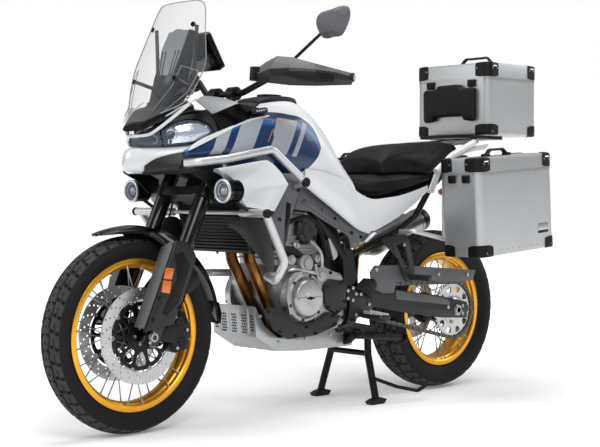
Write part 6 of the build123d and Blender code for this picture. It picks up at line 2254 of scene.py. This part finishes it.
def case_loops(place, length, width, corner, levels):
    """Rounded-rectangle loops: each level is (height, inset)"""
    rows = []
    for height, inset in levels:
        half_length = length / 2 - inset
        half_width = width / 2 - inset
        radius = max(corner - inset, 2)
        loop = []
        for out, along, turn in (
            (half_width - radius, half_length - radius, 0),
            (radius - half_width, half_length - radius, 1),
            (radius - half_width, radius - half_length, 2),
            (half_width - radius, radius - half_length, 3),
        ):
            for k in range(9):
                angle = pi / 2 * (turn + k / 8)
                loop.append(place(out + radius * cos(angle), along + radius * sin(angle), height))
        rows.append(loop)
    return rows


def guard_row(corner, out_edge, end_edge, radius, wing, height):
    """Row of a corner guard: a wing along each side and an arc round the corner"""
    row = []
    for k in range(13):
        if k < 3:
            out, along = out_edge, end_edge - radius - (3 - k) * wing / 3
        elif k > 9:
            out, along = out_edge - radius - (k - 9) * wing / 3, end_edge
        else:
            angle = pi / 2 * (k - 3) / 6
            out = out_edge - radius + radius * cos(angle)
            along = end_edge - radius + radius * sin(angle)
        row.append(corner(max(out, 4), along, height))
    return row


class MOTORCYCLE_OT_cases(Operator):
    """Top case and both panniers, with their guards, rivets, latches and handles"""
    bl_idname = "motorcycle.cases"
    bl_label = "Cases"

    def execute(self, context):
        # panniers lean forward with the tail; a seam's front edge is where the lid turns
        pitch = radians(4)
        up = Vector((0, -sin(pitch), cos(pitch)))
        back = Vector((0, cos(pitch), sin(pitch)))
        end = PANNIER_LENGTH / 2
        for side, name in ((1, "left"), (-1, "right")):
            seam = at(side * (292 + PANNIER_WIDTH / 2), 1232, 868)
            origin = seam - up * PANNIER_BODY_HEIGHT * MM + back * end * MM

            def point(out, along, height, side=side, origin=origin):
                return origin + LEFT * side * out * MM + back * along * MM + up * height * MM

            hinges = [
                lambda a, out, z, d=d: (a * 0.8 + d, -end - out, z) for d in (-30, 36)]
            latches = [lambda a, out, z: (a, end + out, z)]
            Case(
                name + "_pannier", point, PANNIER_LENGTH, PANNIER_WIDTH, PANNIER_BODY_HEIGHT,
                PANNIER_LID_HEIGHT,
            ).build((130, 22, True), hinges, latches)
            for label, look, low, high in (
                ("_blank_plate", "machined", 72, 100), ("_blank_strip", "black", 61, 71),
            ):
                rows = []
                for out, inset in ((96.6, 0), (97.6, 0), (98, 0.8)):
                    rows.append([
                        point(out, along, height) for along, height in (
                            (122 + inset, low + inset), (186 - inset, low + inset),
                            (186 - inset, high - inset), (122 + inset, high - inset))])
                finish(outward(skin(name + "_pannier" + label, rows)), "chassis", look)
        top_end = TOP_CASE_LENGTH / 2
        top_origin = at(0, 1985 - top_end, 1036)

        def top_point(out, along, height):
            return top_origin + Vector((out, along, height)) * MM

        hinges = [lambda a, out, z, d=d: (a + d, -top_end - out, z) for d in (-110, 110)]
        latches = [lambda a, out, z, d=d: (a + d, top_end + 0.5 * out, z) for d in (-90, 90)]
        Case(
            "top_case", top_point, TOP_CASE_LENGTH, TOP_CASE_WIDTH, TOP_CASE_BODY_HEIGHT,
            TOP_CASE_LID_HEIGHT,
        ).build((186, 34, False), hinges, latches)
        return {"FINISHED"}


def chain_path(front, rear):
    """The chain's pins, a pitch apart: both runs and the arcs round both sprockets, (y, z) in mm"""
    small = CHAIN_PITCH / 2 / sin(pi / DRIVE_TEETH)
    large = CHAIN_PITCH / 2 / sin(pi / REAR_TEETH)
    run = Vector((rear.y - front.y, rear.z - front.z)) / MM
    slope = atan2(run.y, run.x)
    lean = acos((large - small) / run.length)
    top_angle = slope + pi - lean
    bottom_angle = slope + pi + lean

    def round_point(centre, radius, angle):
        """Place on a sprocket's pitch circle"""
        return Vector((centre.y / MM + radius * cos(angle), centre.z / MM + radius * sin(angle)))

    def straight(a, b):
        """Pins of a run, but for the last"""
        count = int((b - a).length / CHAIN_PITCH)
        return [a + (b - a) * k / count for k in range(count)]

    def arc(centre, radius, start, span):
        """Pins round a sprocket, but for the last"""
        steps = int(radius * span / CHAIN_PITCH)
        return [round_point(centre, radius, start - span * k / steps) for k in range(steps)]

    return [
        *straight(round_point(front, small, top_angle), round_point(rear, large, top_angle)),
        *arc(rear, large, top_angle, 2 * pi - 2 * lean),
        *straight(round_point(rear, large, bottom_angle), round_point(front, small, bottom_angle)),
        *arc(front, small, bottom_angle, 2 * lean),
    ]


class MOTORCYCLE_OT_running_gear(Operator):
    """Chain links, shock spring, swingarm cover, footrests and lamps behind"""
    bl_idname = "motorcycle.running_gear"
    bl_label = "Running gear"

    def execute(self, context):
        # each link is two rounded plates from pin to pin, outer and inner in turn, and a roller
        path = chain_path(at(0, 835, 415), REAR_AXLE)
        vertices, faces = [], []
        for index, a in enumerate(path):
            b = path[(index + 1) % len(path)]
            along = (b - a).normalized()
            across = Vector((-along.y, along.x))
            offset = 9.4 if index % 2 else 7.6
            for left in (112 - offset, 112 + offset):
                loop = []
                for centre, start in ((a, pi / 2), (b, -pi / 2)):
                    for k in range(5):
                        angle = start + pi * k / 4
                        loop.append(centre + along * 6.6 * cos(angle) + across * 6.6 * sin(angle))
                base = len(vertices)
                for place in (left - 0.8, left + 0.8):
                    vertices += [Vector((place * MM, p.x * MM, p.y * MM)) for p in loop]
                n = len(loop)
                faces.append(tuple(range(base, base + n)))
                faces.append(tuple(reversed(range(base + n, base + 2 * n))))
                for k in range(n):
                    after = (k + 1) % n
                    faces.append((base + k, base + k + n, base + after + n, base + after))
            # the roller round this pin
            base = len(vertices)
            for place in (101.5, 122.5):
                for k in range(8):
                    angle = 2 * pi * k / 8
                    vertices.append(Vector((place * MM, (a.x + 3.6 * cos(angle)) * MM,
                                            (a.y + 3.6 * sin(angle)) * MM)))
            faces.append(tuple(range(base, base + 8)))
            faces.append(tuple(reversed(range(base + 8, base + 16))))
            for k in range(8):
                after = (k + 1) % 8
                faces.append((base + k, base + k + 8, base + after + 8, base + after))
        finish(new_piece("chain_links", vertices, faces), "chassis", "chain", ["chain"])
        # shock: damper and coil spring
        foot, head = at(0, 1009, 438), at(0, 904, 723)
        axis = (head - foot).normalized()
        length = (head - foot).length / MM
        damper = turned("shock_damper", foot, axis, [
            (-14, 6), (-14, 16), (14, 18), (20, 30), (28, 30), (28, 20), (150, 20), (150, 24),
            (length - 66, 24), (length - 66, 36), (length - 58, 36), (length - 40, 28),
            (length - 10, 22), (length + 10, 16), (length + 10, 6)], segments=40)
        finish(damper, "chassis", "machined", ["shock_absorber"])
        side_a = axis.orthogonal().normalized()
        side_b = axis.cross(side_a)
        coil = []
        turns = 7
        for k in range(turns * 16 + 1):
            angle = 2 * pi * k / 16
            along = 28 + (length - 100) * k / (turns * 16)
            coil.append(
                foot + axis * along * MM + (side_a * cos(angle) + side_b * sin(angle)) * 30 * MM)
        spring = tube("shock_spring", coil, 11, flowing=True, sides=10)
        finish(spring, "chassis", "black")
        cover = plate("swingarm_cover_plate", [
            (1010, 500), (1034, 524), (1185, 520), (1637, 483), (1615, 441), (1420, 443),
            (1368, 449), (1260, 453), (1150, 456), (1150, 440), (1140, 414), (1080, 416),
            (1040, 430), (1020, 452)], 138.3, 147, round_edge=3, segments=3)
        finish(cover, "chassis", "mid_grey", ["swingarm_cover"])
        arm = rounded_copy("swingarm_casting", "swingarm", 4.0, segments=3)
        finish(arm, "chassis", "grey_cast", ["swingarm"])
        # lighter grey panels on the arm's sides: painted light where the sides catch the lamps
        ribs = []
        for side in (1, -1):
            ribs.append(plate("swingarm_lit_side_panels", [
                (1160, 424), (1440, 381), (1475, 368), (1480, 348), (1420, 356), (1180, 386),
                (1160, 392)], side * 137.5, side * 140.5, round_edge=1.2))
        finish(joined("swingarm_lit_side_panels", ribs), "chassis", "mid_grey")
        screws = [
            (at(147, d, h), LEFT) for d, h in ((1040, 508), (1180, 506), (1400, 476), (1580, 466))]
        for side in (1, -1):
            for d, h in ((1470, 340), (1560, 340), (1560, 310)):
                screws.append((at(side * 138, d, h), LEFT * side))
        finish(bolts("swingarm_bolts", screws, 7, 5), "chassis", "steel")
        nut = []
        for side in (1, -1):
            nut.append(turned("rear_axle_nuts", at(side * 138, 1531, 325), LEFT * side, [
                (0, 24), (3, 24), (3, 18), (7, 18), (8, 17), (8, 8)],
                segments=6 if side > 0 else 24))
        finish(joined("rear_axle_nuts", nut), "chassis", "machined")
        caliper = rounded_copy("rear_caliper_body", "rear_caliper", 1.2)
        finish(caliper, "chassis", "black", ["rear_caliper"])
        rests = rounded_copy("footrest_hangers", "footrests", 1.5)
        finish(rests, "chassis", "grey_cast", ["footrests"])
        # teeth follow each peg, which runs a little forward and down towards its end
        pegs, teeth, holes = [], [], []
        for side in (1, -1):
            for index in range(11):
                left = 172 + index * 9
                d = lerp(965, 960, (left - 143) / 127)
                h = lerp(345, 335, (left - 143) / 127)
                for edge in (-17, 17):
                    teeth.append(plate("footrest_teeth", [
                        (d + edge - 4, h + 4), (d + edge + 4, h + 4), (d + edge + 2, h + 19),
                        (d + edge - 2, h + 19)], side * left, side * (left + 5), round_edge=0.6,
                        segments=1))
            pegs.append(plate("footrest_platforms", [
                (940, 334), (986, 332), (986, 348), (940, 350)], side * 166, side * 272,
                round_edge=3, segments=3))
            holes += [
                (spot, LEFT * side)
                for spot in places_round(at(0, 905, 423), side * 147, 24, 5)]
            for d, h in ((955, 420), (1000, 380), (930, 345), (893, 316), (1176, 600), (1216, 470)):
                holes.append((at(side * (147 if d < 1100 else 166), d, h), LEFT * side))
        finish(joined("footrest_teeth", teeth), "chassis", "steel")
        finish(joined("footrest_platforms", pegs), "chassis", "grey_cast")
        finish(bolts("footrest_bolts", holes, 6.5, 4), "chassis", "steel")
        guards = []
        for side in (1, -1):
            guards.append(plate("heel_guards", [
                (920, 446), (968, 480), (1029, 474), (1043, 451), (1010, 400), (984, 418)],
                side * 147, side * 151, round_edge=3, segments=2))
        finish(joined("heel_guards", guards), "chassis", "black_plastic")
        lamp = plate("tail_lamp_lens", [
            (1690, 918), (1704, 922), (1706, 948), (1690, 954)], -56, 56, round_edge=5, segments=4)
        finish(lamp, "chassis", "red", ["rear_lamps"])
        arms, tips = [], []
        for side in (1, -1):
            arms.append(tube(
                "indicator_arms", on_side(side, (34, 1752, 800), (116, 1752, 802)), 14, bend=4))
            tips.append(turned("indicator_lenses", at(side * 112, 1752, 802), LEFT * side, [
                (-6, 6), (-4, 15), (6, 17), (26, 15), (36, 9), (38, 1)], segments=28))
        finish(joined("indicator_arms", arms), "chassis", "black_plastic")
        finish(joined("indicator_lenses", tips), "chassis", "orange")
        return {"FINISHED"}


class MOTORCYCLE_OT_frame_finish(Operator):
    """Finish of the parts that keep their own shape, and the plugs on them"""
    bl_idname = "motorcycle.frame_finish"
    bl_label = "Frame, bars and racks"

    def execute(self, context):
        looks = {
            "fork_legs": "fork", "fork_yokes": "black", "handlebar": "black", "frame": "black",
            "crash_bars": "silver_paint", "tail_unit": "black_plastic",
            "grab_rails": "white", "luggage_rack": "black", "pannier_racks": "silver_paint",
            "centre_stand": "black", "side_stand": "black",
        }
        for node, look in looks.items():
            piece = NODES[node]
            piece.data.materials.clear()
            piece.data.materials.append(FINISHES[look][0])
        plugs = []
        for side in (1, -1):
            plugs.append(turned(
                "crash_bar_plugs", at(side * 352, 294, 731), Vector((side, -0.1, 0)), [
                (-1, 14), (2, 15), (10, 15), (14, 12), (14, 1)], segments=28))
            plugs.append(turned(
                "crash_bar_plugs", at(side * 143, 118, 896), Vector((-side, -1, -0.1)), [
                (-2, 13), (2, 15), (6, 14), (8, 10), (8, 1)], segments=28))
            plugs.append(turned("crash_bar_plugs", at(side * 216, 598, 836), LEFT * side, [
                (0, 14), (4, 17), (12, 17), (16, 13), (16, 1)], segments=28))
        finish(joined("crash_bar_plugs", plugs), "chassis", "black_plastic")
        return {"FINISHED"}


class MOTORCYCLE_OT_stage(Operator):
    """Pale floor that keeps the shadow, white surroundings, soft lamps and the camera"""
    bl_idname = "motorcycle.stage"
    bl_label = "Stage"

    def execute(self, context):
        sizes = context.scene.motorcycle
        scene = context.scene
        select_nothing()
        bpy.ops.mesh.primitive_plane_add(size=60, location=(0, 0, 0))
        floor = context.object
        floor.name = "studio_floor"
        material, tree, coordinates = start_material("painted_studio_floor")
        mottle = add_node(tree, "TexNoise", Vector=coordinates, Scale=3.0, Detail=4.0)
        tone = blend(tree, mottle.outputs["Fac"], opaque("#EFEFEF"), opaque("#F6F6F6"))
        matt = add_node(tree, "BsdfDiffuse", Color=tone)
        # near the object the paint shows its shadow; further out it meets the background
        away = add_node(tree, "VectorMath", {"operation": "LENGTH"}, i0=coordinates)
        strength = add_node(
            tree, "MapRange", {"interpolation_type": "SMOOTHSTEP"}, Value=away.outputs["Value"],
            From_Min=1.1, From_Max=3.2, To_Min=sizes.floor_glow, To_Max=0.9,
        )
        glow = add_node(
            tree, "Emission", Color=(1, 1, 1, 1), Strength=strength.outputs["Result"]
        )
        ray = add_node(tree, "LightPath")
        seen = add_node(
            tree, "Math", {"operation": "MAXIMUM"}, i0=ray.outputs["Is Camera Ray"],
            i1=ray.outputs["Is Glossy Ray"],
        ).outputs[0]
        seen = add_node(
            tree, "Math", {"operation": "MAXIMUM"}, i0=seen, i1=ray.outputs["Is Transmission Ray"]
        ).outputs[0]
        added = add_node(tree, "AddShader", i0=matt.outputs["BSDF"], i1=glow.outputs["Emission"])
        mixed = add_node(
            tree, "MixShader", i0=seen, i1=matt.outputs["BSDF"], i2=added.outputs["Shader"]
        )
        add_node(tree, "OutputMaterial", Surface=mixed.outputs["Shader"])
        floor.data.materials.append(material)
        world = bpy.data.worlds.new("studio_surroundings")
        world.use_nodes = True
        tree = world.node_tree
        tree.nodes.clear()
        ray = add_node(tree, "LightPath")
        seen = add_node(
            tree, "Math", {"operation": "MAXIMUM"}, i0=ray.outputs["Is Camera Ray"],
            i1=ray.outputs["Is Transmission Ray"],
        ).outputs[0]
        strength = add_node(tree, "MapRange", Value=seen, To_Min=sizes.sky, To_Max=1.0)
        sky = add_node(tree, "Background", Color=(1, 1, 1, 1), Strength=strength.outputs["Result"])
        add_node(tree, "OutputWorld", Surface=sky.outputs["Background"])
        scene.world = world
        for name, place, aim, size, power in (
            ("key_lamp", (3.2, -2.4, 3.6), (0, 0, 0.6), (2.6, 2.0), sizes.key_power),
            ("front_lamp", (-2.2, -3.6, 2.4), (0, -0.3, 0.6), (2.4, 1.8), sizes.key_power * 0.4),
            ("rear_lamp", (1.5, 3.8, 3.0), (0, 0.2, 0.8), (2.4, 2.0), sizes.key_power * 0.5),
            ("top_lamp", (0.0, 0.0, 4.4), (0, 0, 0), (3.0, 3.0), sizes.key_power * 1.1),
        ):
            lamp = bpy.data.lights.new(name, "AREA")
            lamp.shape = "RECTANGLE"
            lamp.size, lamp.size_y = size
            lamp.energy = power
            holder = bpy.data.objects.new(name, lamp)
            holder.location = place
            look = Vector(aim) - Vector(place)
            holder.rotation_euler = look.to_track_quat("-Z", "Y").to_euler()
            scene.collection.objects.link(holder)
        # the camera stands level with the tank and looks along turn and a little down
        camera = bpy.data.cameras.new("camera")
        camera.sensor_width = 36
        camera.lens = sizes.lens
        camera.shift_x = -0.0011
        camera.shift_y = 0.0023
        camera.clip_end = 200
        holder = bpy.data.objects.new("camera", camera)
        holder.location = (3.5558, -3.4363, 0.801)
        turn, lift = radians(46.336), radians(1.416)
        look = Vector((-sin(turn) * cos(lift), cos(turn) * cos(lift), -sin(lift)))
        holder.rotation_euler = look.to_track_quat("-Z", "Y").to_euler()
        scene.collection.objects.link(holder)
        scene.camera = holder
        scene.view_settings.view_transform = "Standard"
        return {"FINISHED"}


# ------------------------------------------------------------------ sizes and panel


class MotorcycleSizes(PropertyGroup):
    """Sizes that a user may change"""
    lens: FloatProperty(
        name="Lens", description="Focal length of the camera", default=79.2, min=20, max=300)
    key_power: FloatProperty(
        name="Key lamp", description="Power of the largest lamp", default=105, min=0,
        unit="POWER")
    sky: FloatProperty(
        name="Sky", description="Strength of the white surroundings on the object", default=0.34,
        min=0, max=2)
    floor_glow: FloatProperty(
        name="Floor glow", description="How much the floor brightens to meet the background",
        default=0.17, min=0, max=1)


PIECES = (
    MOTORCYCLE_OT_stage, MOTORCYCLE_OT_tyres, MOTORCYCLE_OT_wheels, MOTORCYCLE_OT_brake_discs,
    MOTORCYCLE_OT_fork_fittings, MOTORCYCLE_OT_tank, MOTORCYCLE_OT_flanks,
    MOTORCYCLE_OT_side_covers, MOTORCYCLE_OT_front_cowl, MOTORCYCLE_OT_dash,
    MOTORCYCLE_OT_lamp_pods, MOTORCYCLE_OT_bars, MOTORCYCLE_OT_engine, MOTORCYCLE_OT_underside,
    MOTORCYCLE_OT_seats, MOTORCYCLE_OT_cases, MOTORCYCLE_OT_running_gear,
    MOTORCYCLE_OT_frame_finish,
)


class MOTORCYCLE_PT_panel(Panel):
    """Lists the sizes and the pieces"""
    bl_idname = "MOTORCYCLE_PT_panel"
    bl_label = "Adventure motorcycle"
    bl_space_type = "VIEW_3D"
    bl_region_type = "UI"
    bl_category = "Motorcycle"

    def draw(self, context):
        sizes = context.scene.motorcycle
        column = self.layout.column()
        for name in MotorcycleSizes.__annotations__:
            column.prop(sizes, name)
        for piece in PIECES:
            column.operator(piece.bl_idname)


CLASSES = (MotorcycleSizes, *PIECES, MOTORCYCLE_PT_panel)


def register():
    """Adds the classes and the scene's sizes"""
    for kind in CLASSES:
        bpy.utils.register_class(kind)
    bpy.types.Scene.motorcycle = PointerProperty(type=MotorcycleSizes)


def unregister():
    """Removes them again"""
    del bpy.types.Scene.motorcycle
    for kind in reversed(CLASSES):
        bpy.utils.unregister_class(kind)


def main():
    """Makes every piece"""
    register()
    for piece in PIECES:
        group, name = piece.bl_idname.split(".")
        getattr(getattr(bpy.ops, group), name)()


if __name__ == "__main__":
    main()
